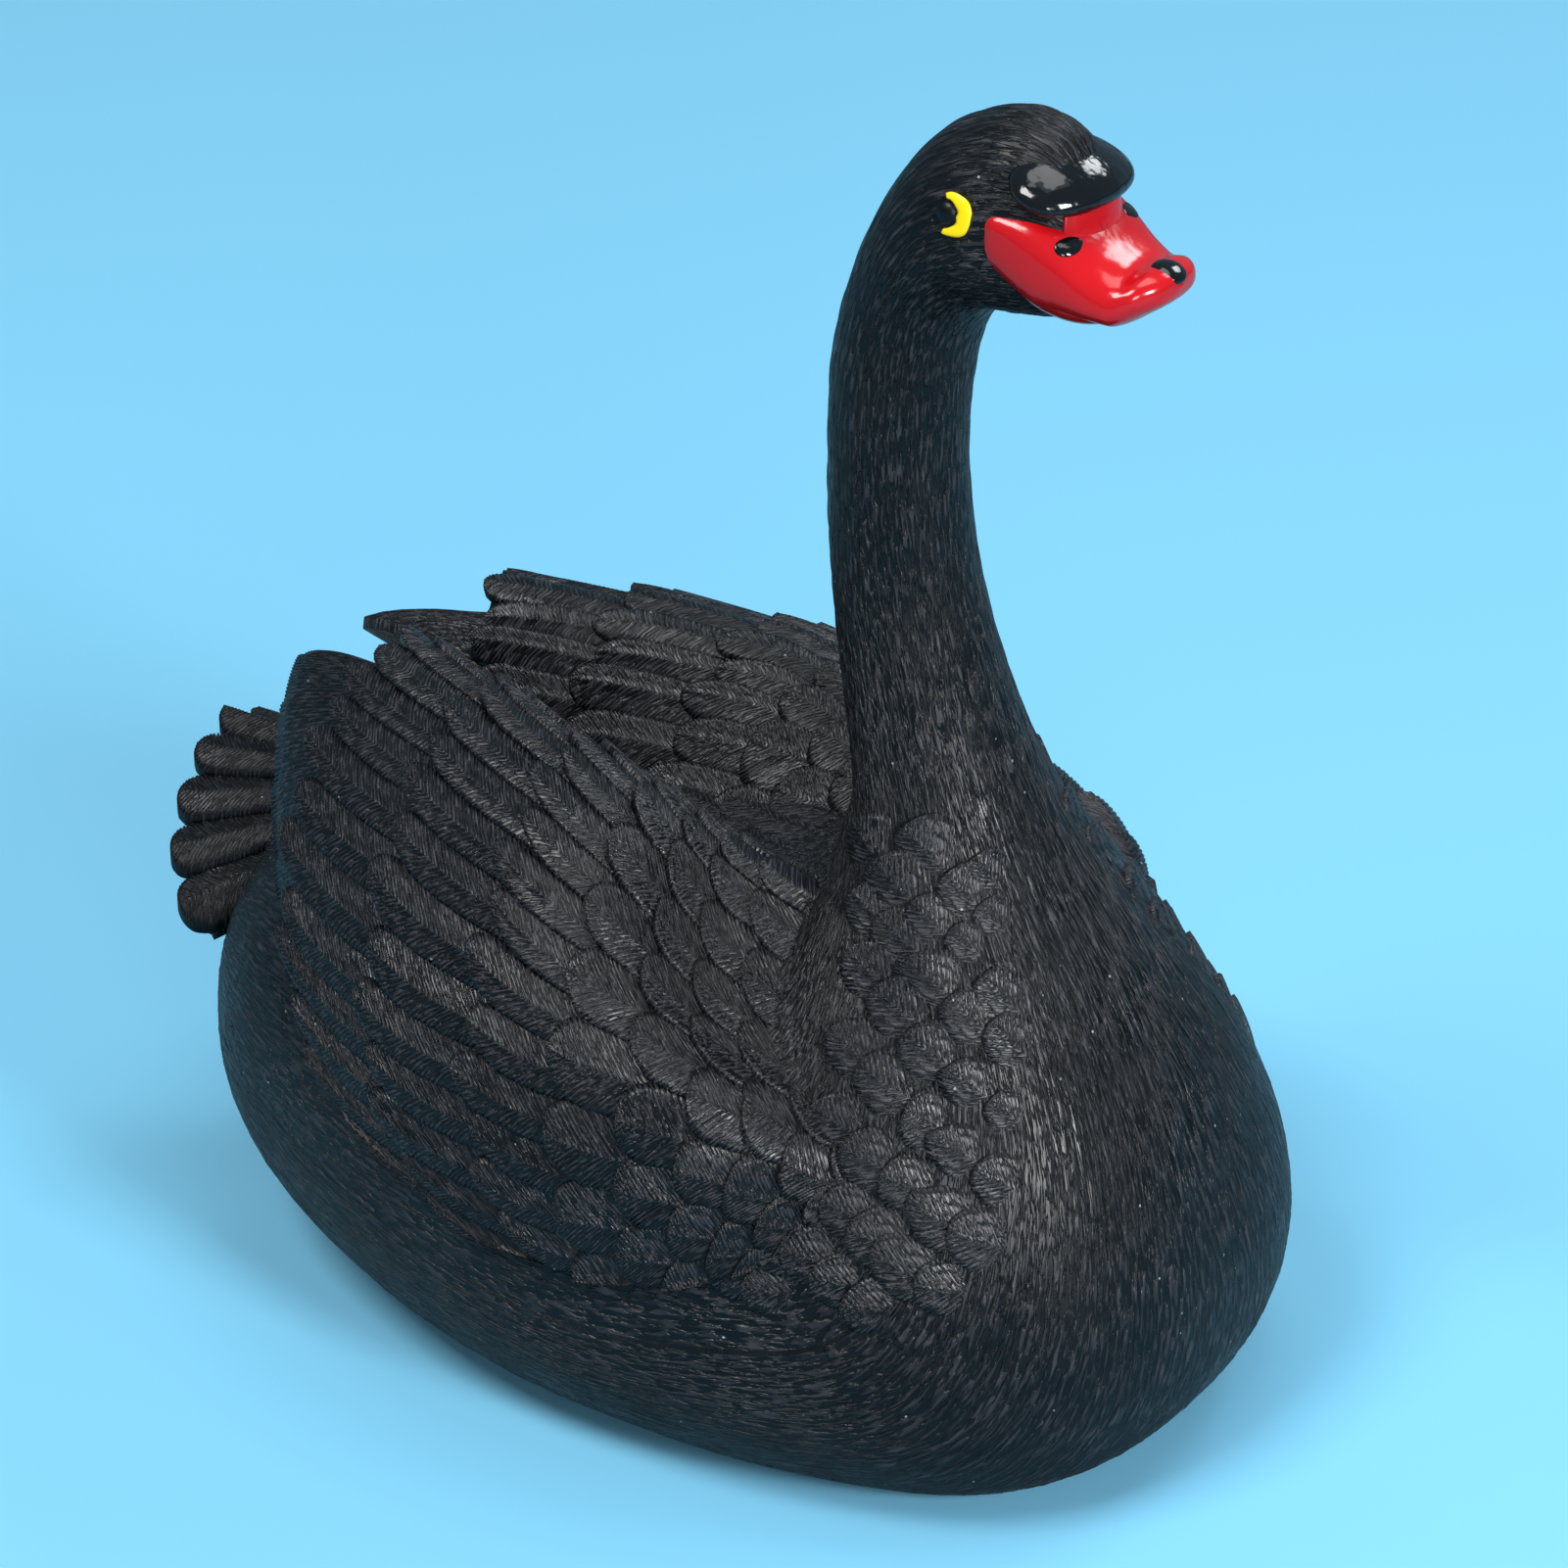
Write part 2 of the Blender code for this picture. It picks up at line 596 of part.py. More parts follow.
def main():
    for thing in list(bpy.data.objects):
        bpy.data.objects.remove(thing)
    body = make_body()
    forms = make_wing("right_wing", -1) + make_wing("left_wing", 1)
    forms += [make_tail()] + make_bill() + [make_knob()] + make_eyes()
    combine(body, "joined_forms", forms, "UNION")
    combine(body, "nostrils", nostril_cutters(), "DIFFERENCE")
    body.data.materials.append(satin_black())
    body.data.shade_smooth()


main()
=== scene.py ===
"""Looks of the garden swan: carved feathers, engraved plumage, glossy enamel on bill and knob."""
import math

import bmesh
import bpy
import numpy as np
from mathutils import Matrix, Vector


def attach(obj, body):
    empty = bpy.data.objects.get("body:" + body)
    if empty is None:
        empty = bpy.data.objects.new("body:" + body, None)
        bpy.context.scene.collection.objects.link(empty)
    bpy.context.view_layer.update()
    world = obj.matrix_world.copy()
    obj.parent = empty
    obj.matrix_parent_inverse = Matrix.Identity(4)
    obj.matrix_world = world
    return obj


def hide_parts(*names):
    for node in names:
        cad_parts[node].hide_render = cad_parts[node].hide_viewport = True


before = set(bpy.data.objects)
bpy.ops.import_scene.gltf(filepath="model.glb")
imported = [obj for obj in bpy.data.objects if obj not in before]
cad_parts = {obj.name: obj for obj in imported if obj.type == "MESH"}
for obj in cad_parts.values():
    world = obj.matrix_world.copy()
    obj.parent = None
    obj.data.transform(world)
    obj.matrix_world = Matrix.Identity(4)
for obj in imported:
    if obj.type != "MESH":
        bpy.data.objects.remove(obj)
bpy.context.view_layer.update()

MM = 0.001
NODE = "swan"
SIDES = (("right", -1), ("left", 1))

# Body, neck and head, in millimetres
BODY_LENGTH = 206.0
BODY_WIDTH = 144.0
BACK_HEIGHT = 94.0
KEEL_CUT = 10.0
BODY_SQUARENESS = 2.3
BASE_ROUNDING = 4.0
NECK_FORWARD = 31.7
NECK_THICKNESS = 24.2
NECK_LENGTH = 117.0
HEAD_FORWARD = 57.0
HEAD_LENGTH = 31.0
HEAD_HEIGHT = 33.0
HEAD_WIDTH = 30.0
ROUND_SECTION = (0.5, 2.0)

# Bill, knob, nostrils and eyes
BILL_LENGTH = 30.5
BILL_WIDTH = 26.5
BILL_HEIGHT = 20.5
BILL_BACK = 1.0
BILL_DOWN = 6.8
LOWER_BILL_INSET = 0.8
LOWER_BILL_DROP = 2.0
MOUTH_LEVEL = -0.78
MOUTH_REACH = 0.90
UPPER_BILL_LEAST = 0.05
KNOB_SIZE = (17.0, 27.0, 7.6)
KNOB_FORWARD = 8.2
KNOB_UP = 7.4
KNOB_TILT = 20.0
KNOB_DROOP = 1.6
KNOB_SQUARENESS = 2.2
NOSTRIL_SIZE = (3.6, 1.6, 2.2)
NOSTRIL_PLACE = (15.0, 9.8, 6.4)
NOSTRIL_DEPTH = 0.6
EYE_BACK = 4.9
EYE_UP = 2.2

# Wings and tail
WING_SHOULDER_FORWARD = 62.0
WING_LENGTH = 135.0
WING_SPREAD = 75.0
WING_HEIGHT = 117.5
WING_STAND_PROUD = 2.6
WING_CORE = (-12.0, 28.0, 66.0)
FEATHER_STEP = 2.3
PRIMARY_REACH = 95.0
PRIMARY_SINK = 2.0
PRIMARY_BULGE = 1.4
TAIL_LENGTH = 53.0
TAIL_ROOT_BACK = 70.0
TAIL_TIP_HEIGHT = 81.5
TAIL_SIDE_DROP = 28.0
TAIL_FEATHERS = 9
TAIL_HALF_ANGLE = 45.0
TAIL_THICKNESS = 3.5
TAIL_STEP = 1.6
TAIL_ROOT = 0.30
TAIL_SIDE_SHORT = 0.14
TAIL_SIDE_POWER = 5.0
TAIL_DROOP_POWER = 1.3
TAIL_DROOP_ROOT = 0.35
MIDDLE = (TAIL_ROOT_BACK + TAIL_LENGTH - BODY_LENGTH / 2) / 2

# Body stations, tail to breast, as shares: belly and back (forward, up), half width, level of widest point
BODY_STATIONS = (
    (-1.00, 0.50, -1.00, 0.50, 0.000, 0.45),
    (-0.98, 0.31, -0.97, 0.68, 0.310, 0.45),
    (-0.90, 0.13, -0.885, 0.83, 0.575, 0.50),
    (-0.73, 0.02, -0.72, 0.93, 0.765, 0.48),
    (-0.48, -0.55, -0.50, 0.98, 0.895, 0.44),
    (-0.19, -1.00, -0.25, 1.00, 0.975, 0.41),
    (0.115, -1.00, -0.02, 1.01, 1.000, 0.38),
    (0.47, -1.00, 0.135, 1.03, 0.965, 0.40),
    (0.80, -0.45, 0.21, 1.04, 0.870, 0.41),
    (0.96, 0.12, 0.25, 1.07, 0.765, 0.42),
    (1.00, 0.36, 0.27, 1.12, 0.640, 0.45),
    (0.925, 0.64, 0.28, 1.18, 0.490, 0.47),
)
# Neck stations, root to top: front and back (forward, up), half width, as shares
NECK_STATIONS = (
    (4.05, -0.07, -0.31, 0.21, 2.15),
    (2.90, 0.10, -0.47, 0.28, 1.62),
    (2.05, 0.27, -0.68, 0.37, 1.32),
    (1.47, 0.43, -0.84, 0.46, 1.14),
    (1.14, 0.57, -0.95, 0.56, 1.06),
    (1.00, 0.72, -1.00, 0.68, 1.00),
    (1.10, 0.85, -0.95, 0.85, 1.00),
)
# Head stations, nape to face: throat and crown (forward, up), half width, as shares
HEAD_STATIONS = (
    (-0.60, -1.47, -2.10, -1.04, 0.84),
    (-0.30, -1.17, -1.61, -0.07, 0.93),
    (0.04, -1.13, -0.97, 0.65, 0.97),
    (0.40, -1.10, -0.13, 0.99, 0.86),
    (0.68, -1.00, 0.48, 0.88, 0.70),
    (0.88, -0.76, 0.80, 0.48, 0.50),
    (0.97, -0.44, 0.95, 0.05, 0.28),
    (1.00, -0.20, 1.00, -0.20, 0.00),
)
# Bill stations, face to tip: forward, top and bottom, half width and level of it, as shares, and squareness
BILL_STATIONS = (
    (0.00, 0.90, -0.20, 0.97, 0.64, 3.4),
    (0.07, 1.02, -0.30, 1.03, 0.64, 3.4),
    (0.28, 0.98, -0.72, 1.02, 0.56, 3.1),
    (0.46, 0.72, -0.88, 0.97, 0.50, 2.8),
    (0.62, 0.36, -0.87, 0.90, 0.45, 2.6),
    (0.76, 0.16, -0.75, 0.82, 0.42, 2.5),
    (0.88, 0.21, -0.52, 0.68, 0.42, 2.5),
    (0.97, 0.12, -0.31, 0.40, 0.42, 2.5),
    (1.00, -0.08, -0.08, 0.00, 0.42, 2.5),
)
# Wing ribs, foot between the wings to lower edge, five stations each: back, out and up in hundredths
WING_RIBS = (
    ((19, 19, 77), (38, 10, 76), (56, 4, 76), (76, 1, 75), (92, 1, 73)),
    ((10, 26, 83), (36, 27, 85), (54, 24, 89), (76, 17, 91), (95, 11, 92)),
    ((6, 31, 76), (35, 36, 84), (52, 38, 94), (76, 29, 97), (97, 19, 97)),
    ((4, 40, 68), (31, 52, 77), (49, 57, 90), (75, 47, 93), (99, 33, 91)),
    ((3, 52, 61), (26, 67, 70), (46, 75, 81), (73, 66, 83), (98, 51, 81)),
    ((3, 63, 55), (19, 83, 65), (43, 90, 68), (69, 84, 67), (93, 66, 67)),
    ((5, 71, 50), (19, 88, 53), (40, 95, 52), (63, 92, 52), (84, 79, 54)),
    ((8, 78, 45), (21, 88, 39), (37, 92, 36), (52, 92, 37), (66, 88, 40)),
)
# Feather rows, shoulder to tip: where the tips end along the wing, and how many feathers lie abreast
FEATHER_ROWS = (
    (0.07, 8), (0.14, 8), (0.21, 8), (0.285, 10), (0.37, 10), (0.47, 10),
    (0.61, 16), (0.79, 16), (1.0, 16),
)
WING_COLUMNS = 80
LONG_ROWS = 3
FEATHER_STAGGER = 0.022
SCALLOP_DEPTH = 0.60
LONGEST_SCALLOP = 0.06
SMALL_STEP_SHARE = 0.45
FEATHER_LAP = 0.55
SHAFT_RISE = 0.10
FRONT_SHARE = 0.5
FRONT_RISE = 0.25
WING_CREST = 0.36
PRIMARY_FROM = 0.13
PRIMARY_TO = 0.985
PRIMARY_UNDER = 0.90
PRIMARY_EDGE = (
    (0.97, 0.085, 0.92), (1.005, 0.13, 0.90), (0.99, 0.23, 0.845),
    (0.93, 0.37, 0.75), (0.85, 0.50, 0.665), (0.75, 0.625, 0.585),
    (0.62, 0.735, 0.515), (0.47, 0.83, 0.46), (0.32, 0.895, 0.415),
)

# Carving: pitch of the barbs, depth of their grooves, slant to the shaft, and the hair lines of the body
BARB_PITCH = 0.90
BARB_DEPTH = 0.28
BARB_SLANT = 48.0
SAMPLES_A_BARB = 3
HAIR_PITCH = 1.5
HAIR_DEPTH = 0.26
HAIR_LENGTH = 7.0
SAMPLES_A_HAIR = 4

CHANCES = np.random.default_rng(11).random(8192)


def spline(rows, at):
    """A smooth curve through rows, read at places from 0 to 1."""
    rows = np.asarray(rows, float)
    place = np.clip(np.atleast_1d(at), 0.0, 1.0) * (len(rows) - 1)
    start = np.minimum(place.astype(int), len(rows) - 2)
    part = (place - start).reshape((-1,) + (1,) * (rows.ndim - 1))
    padded = np.concatenate([[2 * rows[0] - rows[1]], rows, [2 * rows[-1] - rows[-2]]])
    a, b, c, d = (padded[start + step] for step in range(4))
    bend = 2 * a - 5 * b + 4 * c - d + part * (3 * (b - c) + d - a)
    return b + 0.5 * part * (c - a + part * bend)


def chance(*keys):
    """A fixed random number from 0 to 1 for whole numbers, alike in every run."""
    mixed = sum(np.asarray(key, int) * prime for key, prime in zip(keys, (7919, 104729, 1299709)))
    return CHANCES[np.mod(mixed, len(CHANCES))]


def smooth_step(low, high, value):
    share = np.clip((value - low) / (high - low), 0.0, 1.0)
    return share * share * (3 - 2 * share)


def head_middle():
    return np.array([HEAD_FORWARD, BACK_HEIGHT + NECK_LENGTH + HEAD_HEIGHT / 2])


def from_head(forward, out, up):
    """A place given from the middle of the head."""
    middle = head_middle()
    return np.array([middle[0] + forward, out, middle[1] + up])


def body_stations():
    """Every station of the body, neck and head as (belly x, z, back x, z, half width, level, squareness)."""
    rows = []
    half = BODY_LENGTH / 2
    for low_x, low_z, high_x, high_z, width, level in BODY_STATIONS:
        keel = low_z * (KEEL_CUT if low_z < 0 else BACK_HEIGHT)
        rows.append((
            low_x * half, keel, high_x * half, high_z * BACK_HEIGHT,
            width * BODY_WIDTH / 2, level, BODY_SQUARENESS,
        ))
    half = NECK_THICKNESS / 2
    for low_x, low_z, high_x, high_z, width in NECK_STATIONS:
        rows.append((
            NECK_FORWARD + low_x * half, BACK_HEIGHT + low_z * NECK_LENGTH,
            NECK_FORWARD + high_x * half, BACK_HEIGHT + high_z * NECK_LENGTH, width * half, *ROUND_SECTION,
        ))
    middle = head_middle()
    size = np.array([HEAD_LENGTH, HEAD_HEIGHT]) / 2
    for low_x, low_z, high_x, high_z, width in HEAD_STATIONS:
        rows.append((
            middle[0] + low_x * size[0], middle[1] + low_z * size[1],
            middle[0] + high_x * size[0], middle[1] + high_z * size[1],
            width * HEAD_WIDTH / 2, *ROUND_SECTION,
        ))
    return np.array(rows)


STATIONS = body_stations()


def on_the_base(height):
    """The flat base with a rounded lip: heights near zero bend smoothly into it."""
    bent = (height + BASE_ROUNDING) ** 2 / (4 * BASE_ROUNDING)
    return np.where(height > BASE_ROUNDING, height, np.where(height < -BASE_ROUNDING, 0.0, bent))


def ring_point(low, high, half_width, level, squareness, turn):
    """A point of a ring between a low and a high point in the middle plane, at a turn from the side."""
    across, along = np.cos(turn), np.sin(turn)
    power = 2 / squareness
    side = half_width * np.sign(across) * np.abs(across) ** power
    rise = np.abs(along) ** power
    share = np.where(along >= 0, level + (1 - level) * rise, level - level * rise)
    middle = low + (high - low) * share[:, None]
    return np.column_stack([middle[:, 0], side, middle[:, 1]])


def body_at(turn, along):
    """The skin of body, neck and head: turn round the ring in radians, along from tail to face."""
    rows = spline(STATIONS, along)
    point = ring_point(rows[:, 0:2], rows[:, 2:4], np.maximum(rows[:, 4], 0.0), rows[:, 5], rows[:, 6], turn)
    point[:, 2] = on_the_base(point[:, 2])
    return point


def facing(surface, across, along, reach_across, reach_along):
    """The unit normals of a surface, from neighbouring places on it."""
    sideways = surface(across + reach_across, along) - surface(across - reach_across, along)
    backwards = surface(across, along + reach_along) - surface(across, along - reach_along)
    normal = np.cross(sideways, backwards)
    return normal / np.maximum(np.linalg.norm(normal, axis=1), 1e-9)[:, None]


def wing_at(across, along):
    """The wing's plain surface: across it from the foot between the wings, and along it from the shoulder."""
    across = np.atleast_1d(across)
    along = np.atleast_1d(along)
    ribs = np.asarray(WING_RIBS, float) * np.array([WING_LENGTH, WING_SPREAD, WING_HEIGHT]) / 100
    by_rib = spline(np.eye(len(WING_RIBS)), across)
    by_station = spline(np.eye(len(WING_RIBS[0])), along)
    point = np.einsum("ni,nj,ijk->nk", by_rib, by_station, ribs)
    point[:, 0] = WING_SHOULDER_FORWARD - point[:, 0]
    return point


def wing_proud(along):
    """How far the feathers stand off the wing's plain surface, less at its front edge."""
    return WING_STAND_PROUD * (FRONT_SHARE + (1 - FRONT_SHARE) * np.clip(along / FRONT_RISE, 0, 1))


def wing_normal(across, along):
    reach = 0.01
    across = np.clip(np.atleast_1d(across), reach, 1 - reach)
    along = np.clip(np.atleast_1d(along), reach, 1 - reach)
    return facing(wing_at, across, along, reach, reach)


def tail_at(across, along):
    """The fan of the tail: across it from -1 to 1, along it from its root to its tips."""
    angle = np.radians(TAIL_HALF_ANGLE) * across
    full = 1 - TAIL_SIDE_SHORT * np.abs(across) ** TAIL_SIDE_POWER
    reach = TAIL_LENGTH * (TAIL_ROOT + (1 - TAIL_ROOT) * along * full)
    droop = TAIL_DROOP_ROOT + (1 - TAIL_DROOP_ROOT) * along
    drop = TAIL_SIDE_DROP * np.abs(across) ** TAIL_DROOP_POWER * droop
    return np.column_stack([
        -TAIL_ROOT_BACK - reach * np.cos(angle), reach * np.sin(angle), TAIL_TIP_HEIGHT - drop,
    ])


# Forms and pieces
def read_points(mesh):
    points = np.empty(len(mesh.vertices) * 3)
    mesh.vertices.foreach_get("co", points)
    return points.reshape(-1, 3)


def write_points(mesh, points):
    mesh.vertices.foreach_set("co", np.ascontiguousarray(points, np.float32).ravel())
    mesh.update()


def mark(mesh, flow):
    """Keeps where each point lies along the carving, for the materials; its third value sets a painted
    highlight where it is high and painted shade where it is low.
    """
    layer = mesh.attributes.get("flow") or mesh.attributes.new("flow", "FLOAT_VECTOR", "POINT")
    layer.data.foreach_set("vector", np.ascontiguousarray(flow, np.float32).ravel())


def mesh_of(name, form):
    """Turns a form into a mesh and lets the form go."""
    mesh = bpy.data.meshes.new(name)
    form.to_mesh(mesh)
    form.free()
    return mesh


def sunk_rim(form, level, meeting=None):
    """Pulls the open rim of a sheet to a level, and together at one place where that is given."""
    rim = [edge for edge in form.edges if edge.is_boundary]
    pulled = bmesh.ops.extrude_edge_only(form, edges=rim)["geom"]
    pulled = [item for item in pulled if isinstance(item, bmesh.types.BMVert)]
    for corner in pulled:
        corner.co.z = level
    if meeting:
        bmesh.ops.pointmerge(form, verts=pulled, merge_co=meeting)


def thick_sheet(name, across, along, thickness):
    """A flat sheet with a thickness as a mesh, its points, and which of them lie on top."""
    form = bmesh.new()
    bmesh.ops.create_grid(form, x_segments=across, y_segments=along, size=1.0)
    bmesh.ops.solidify(form, geom=form.faces[:] + form.edges[:] + form.verts[:], thickness=thickness)
    mesh = mesh_of(name, form)
    flat = read_points(mesh)
    return mesh, flat, flat[:, 2] > flat[:, 2].mean()


def finish_piece(name, mesh, material):
    """Shades a piece, lets it ride with the swan and stand for its solid."""
    piece = bpy.data.objects.new(name, mesh)
    bpy.context.scene.collection.objects.link(piece)
    mesh.materials.append(material)
    mesh.shade_smooth()
    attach(piece, "root")
    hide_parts(NODE)
    return piece


def in_place(points, side=1):
    """From millimetres about the body's middle to metres in the part's frame, mirrored for side -1."""
    return (points * np.array([1.0, side, 1.0]) + np.array([MIDDLE, 0.0, 0.0])) * MM


def placed_piece(name, mesh, points, material, flow=None, side=1):
    """Moves a mesh's points to their place, turns its faces outwards and finishes it."""
    write_points(mesh, in_place(points, side))
    outward(mesh)
    if flow is not None:
        mark(mesh, flow)
    return finish_piece(name, mesh, material)


def wrapped(around, along):
    """A ball of rings with two poles as a mesh, and each point's turn and share from the first pole."""
    form = bmesh.new()
    bmesh.ops.create_grid(form, x_segments=around, y_segments=along, size=1.0)
    left = {}
    right = {}
    poles = {-1: [], 1: []}
    for corner in form.verts:
        ring = round((corner.co.y + 1) / 2 * along)
        if ring in (0, along):
            poles[1 if ring else -1].append(corner)
        elif corner.co.x < -1 + 1 / around:
            left[ring] = corner
        elif corner.co.x > 1 - 1 / around:
            right[ring] = corner
    bmesh.ops.weld_verts(form, targetmap={right[ring]: left[ring] for ring in right})
    for end, corners in poles.items():
        bmesh.ops.pointmerge(form, verts=corners, merge_co=(0, end, 0))
    mesh = mesh_of("wrapped", form)
    flat = read_points(mesh)
    turn = math.pi * flat[:, 0]
    share = (flat[:, 1] + 1) / 2
    return mesh, turn, share


def outward(mesh):
    """Turns every face of a closed mesh outwards."""
    form = bmesh.new()
    form.from_mesh(mesh)
    bmesh.ops.recalc_face_normals(form, faces=form.faces[:])
    form.to_mesh(mesh)
    form.free()


# Body: how the hairs sway (in lanes, over millimetres, from lane to lane), and where the skin stays bare
HAIR_SWAYS = ((0.8, 6.3, 0.21), (0.6, 11.0, -0.13))
HAIR_LEVEL = 0.6
BARE_TAIL = (0.004, 0.03)
BARE_FACE = (1.0, 0.985)
BARE_FOOT = (0.3, 4.0)
SKIN_REACH = (0.004, 0.0015)
SEAM_START = 0.45


def hair_relief(lane, travel, length):
    """Rows of short raised hairs side by side, from 0 in the grooves to 1."""
    sway = sum(wide * np.sin(travel / far + lane * turn) for wide, far, turn in HAIR_SWAYS)
    lane = lane + sway
    which = np.floor(lane)
    start = travel / length + chance(which) * 7
    hair = np.floor(start)
    across = np.sin(math.pi * (lane - which)) ** 0.7
    taper = np.sqrt(np.sin(math.pi * (start - hair)))
    return across * taper * (0.35 + 0.65 * chance(which, hair))


# Zones of the skin: stations between which it runs, points along it, hairs round it, laps before and after
SKIN_ZONES = (
    ("hull", 0.0, 9.0, 66, 210, 0.0, 0.25),
    ("breast", 9.0, 11.8, 32, 170, 0.25, 0.2),
    ("neck_root", 11.8, 14.0, 42, 100, 0.2, 0.2),
    ("neck_and_head", 14.0, 26.0, 170, 60, 0.2, 0.0),
)
SKIN_SINK = 0.5


def make_skin(name, first, last, rings, hairs, lap_before, lap_after, material):
    """A stretch of body, neck and head with its engraved hairs, closed inside the next stretch."""
    stations = len(STATIONS) - 1
    start = (first - lap_before) / stations
    end = (last + lap_after) / stations
    mesh, turn, share = wrapped(hairs * SAMPLES_A_HAIR, rings)
    inner = 1.0 / rings
    if lap_before:
        share = np.where(share < inner / 2, -1.0, (share - inner) / (1 - inner))
    if lap_after:
        share = np.where(share > 1 - inner / 2, 2.0, share / (1 - inner))
    along = start + (end - start) * np.clip(share, 0, 1)
    point = body_at(turn, along)
    reach = SKIN_REACH[1]
    normal = facing(body_at, turn, np.clip(along, reach, 1 - reach), *SKIN_REACH)
    outwards = point - body_middle(along)
    normal *= np.sign(np.sum(normal * outwards, axis=1))[:, None]
    travel = flow_length(along)
    lane = turn / (2 * math.pi) * hairs
    relief = hair_relief(lane, travel, HAIR_LENGTH)
    carved = smooth_step(*BARE_TAIL, along) * smooth_step(*BARE_FACE, along)
    lift = (relief - HAIR_LEVEL) * HAIR_DEPTH * carved * smooth_step(*BARE_FOOT, point[:, 2])
    station = along * stations
    for past, lap in ((first - station, lap_before), (station - last, lap_after)):
        if lap:
            lift -= SKIN_SINK * smooth_step(SEAM_START, 1, past / lap)
    inside = (share < -0.5) | (share > 1.5)
    point = point + normal * lift[:, None]
    point = np.where(inside[:, None], body_middle(along), point)
    point[:, 2] = np.maximum(point[:, 2], 0.0)
    flow = np.column_stack([lane * HAIR_PITCH, travel, relief])
    return placed_piece(name, mesh, point, material, flow=flow)


def body_middle(along):
    rows = spline(STATIONS, along)
    middle = (rows[:, 0:2] + rows[:, 2:4]) / 2
    return np.column_stack([middle[:, 0], np.zeros(len(middle)), middle[:, 1]])


def flow_length(along):
    """How far along the flank a place is, in millimetres."""
    steps = np.linspace(0, 1, 400)
    line = body_at(np.zeros(len(steps)), steps)
    lengths = np.concatenate([[0.0], np.cumsum(np.linalg.norm(np.diff(line, axis=0), axis=1))])
    return np.interp(along, steps, lengths)


# Feathers
COLUMN_SHARES = (0.0, 0.12, 0.45, 0.80, 1.0)
TIP_ROUNDNESS = 0.85
RAGGED_EDGE = 0.05
BARB_BOW = 0.10
GROOVE_POWER = 0.6
DEEP_BARB = 1.6
DEEP_BARB_FROM = 0.93
SHAFT_ASIDE = 0.12
FEATHER_WIDENING = 1.08
ROOT_REACH = 0.35
SWEEP_FROM = 0.35
SWEEP_CHANCE = 0.014
TILT_CHANCE = 0.02
RISE_SHARE = 0.25
FEATHER_SWEEP = -0.034
SMALL_FEATHER_SWEEP = -0.012
VANE_WALL = 2.2
HIDDEN_REACH = 1.5
BED_REACH = 0.985
BED_SINK = 0.4
BED_FLOW = 20
VANE_CORE = 3.2
VANE_CORE_AT = 0.45
VANE_EDGE_DROP = 0.18
SHAFT_HEIGHT = 0.30


def vane_template(rows):
    """A flat feather as a mesh: x from -1 to 1 across, y along it, z 0 on top, -1 at its wall, -2 inside."""
    sides = 2 * (len(COLUMN_SHARES) - 1)
    form = bmesh.new()
    bmesh.ops.create_grid(form, x_segments=sides, y_segments=rows, size=1.0)
    for corner in form.verts:
        corner.co.y = (corner.co.y + 1) / 2
    tip = [corner for corner in form.verts if corner.co.y > 1 - 1e-4]
    bmesh.ops.pointmerge(form, verts=tip, merge_co=(0, 1, 0))
    sunk_rim(form, -1)
    sunk_rim(form, -2, (0, VANE_CORE_AT, -2))
    bmesh.ops.recalc_face_normals(form, faces=form.faces[:])
    mesh = mesh_of("vane", form)
    return mesh, read_points(mesh)


def barb_ridge(across):
    """The rise of a barb over its width, from 0 in the groove to 1 on its back."""
    return np.abs(np.sin(math.pi * across)) ** GROOVE_POWER


def vane_shape(flat, barbs, length, half_width, depth, shaft, seed):
    """Where a flat feather's points lie: across (-1 to 1), along (0 to 1), and their lift in millimetres."""
    columns = len(COLUMN_SHARES) - 1
    side = np.sign(flat[:, 0])
    out = np.interp(np.abs(flat[:, 0]) * columns, np.arange(columns + 1), COLUMN_SHARES)
    place = flat[:, 1]
    width = np.where(side > 0, 1 - shaft, 1 + shaft)
    lead = min(half_width * math.tan(math.radians(BARB_SLANT)) / length, 0.9 * (1 - depth))
    turn_at = float(np.clip(1 - depth - lead, 0.15, 0.8))
    edge = np.clip(place / turn_at, 0, 1)
    arc = np.clip((place - turn_at) / (1 - turn_at), 0, 1) * math.pi / 2
    outline_across = np.cos(arc) ** TIP_ROUNDNESS
    outline_along = np.where(arc > 0, 1 - depth + depth * np.sin(arc), lead + (1 - depth - lead) * edge)
    phase = place * barbs
    which = np.floor(phase + 1e-4)
    ragged = 1 - RAGGED_EDGE * chance(which, seed) * (out > 0.8)
    bow = BARB_BOW * out * (1 - out)
    across = side * out * outline_across * ragged
    along = place + (outline_along - place) * out + bow * (1 - place)
    groove = barb_ridge(phase - which)
    deep = 0.6 + 0.6 * chance(which, seed + 3) + DEEP_BARB * (chance(which // 3, seed + 5) > DEEP_BARB_FROM)
    relief = (groove - 1) * BARB_DEPTH * deep * smooth_step(0.02, 0.15, out) * smooth_step(1.0, 0.93, place)
    lift = relief - VANE_EDGE_DROP * smooth_step(0.6, 1.0, out)
    lift += SHAFT_HEIGHT * (1 - out / COLUMN_SHARES[1]).clip(0, 1) * (1 - 0.7 * place)
    flow = np.column_stack([place * length, out * half_width / math.cos(math.radians(BARB_SLANT)), groove])
    return shaft + across * width, along, lift, flow


def tip_place(row, feather):
    """Where a feather ends and its row starts along the wing, and how deep its round end is."""
    end = FEATHER_ROWS[row][0]
    start = FEATHER_ROWS[row - 1][0] if row else 0.0
    depth = min(SCALLOP_DEPTH * (end - start), LONGEST_SCALLOP)
    if row >= len(FEATHER_ROWS) - LONG_ROWS:
        end -= FEATHER_STAGGER * (feather % 2)
    return end, start, depth


def barbs_of(length):
    return max(6, round(length / BARB_PITCH))


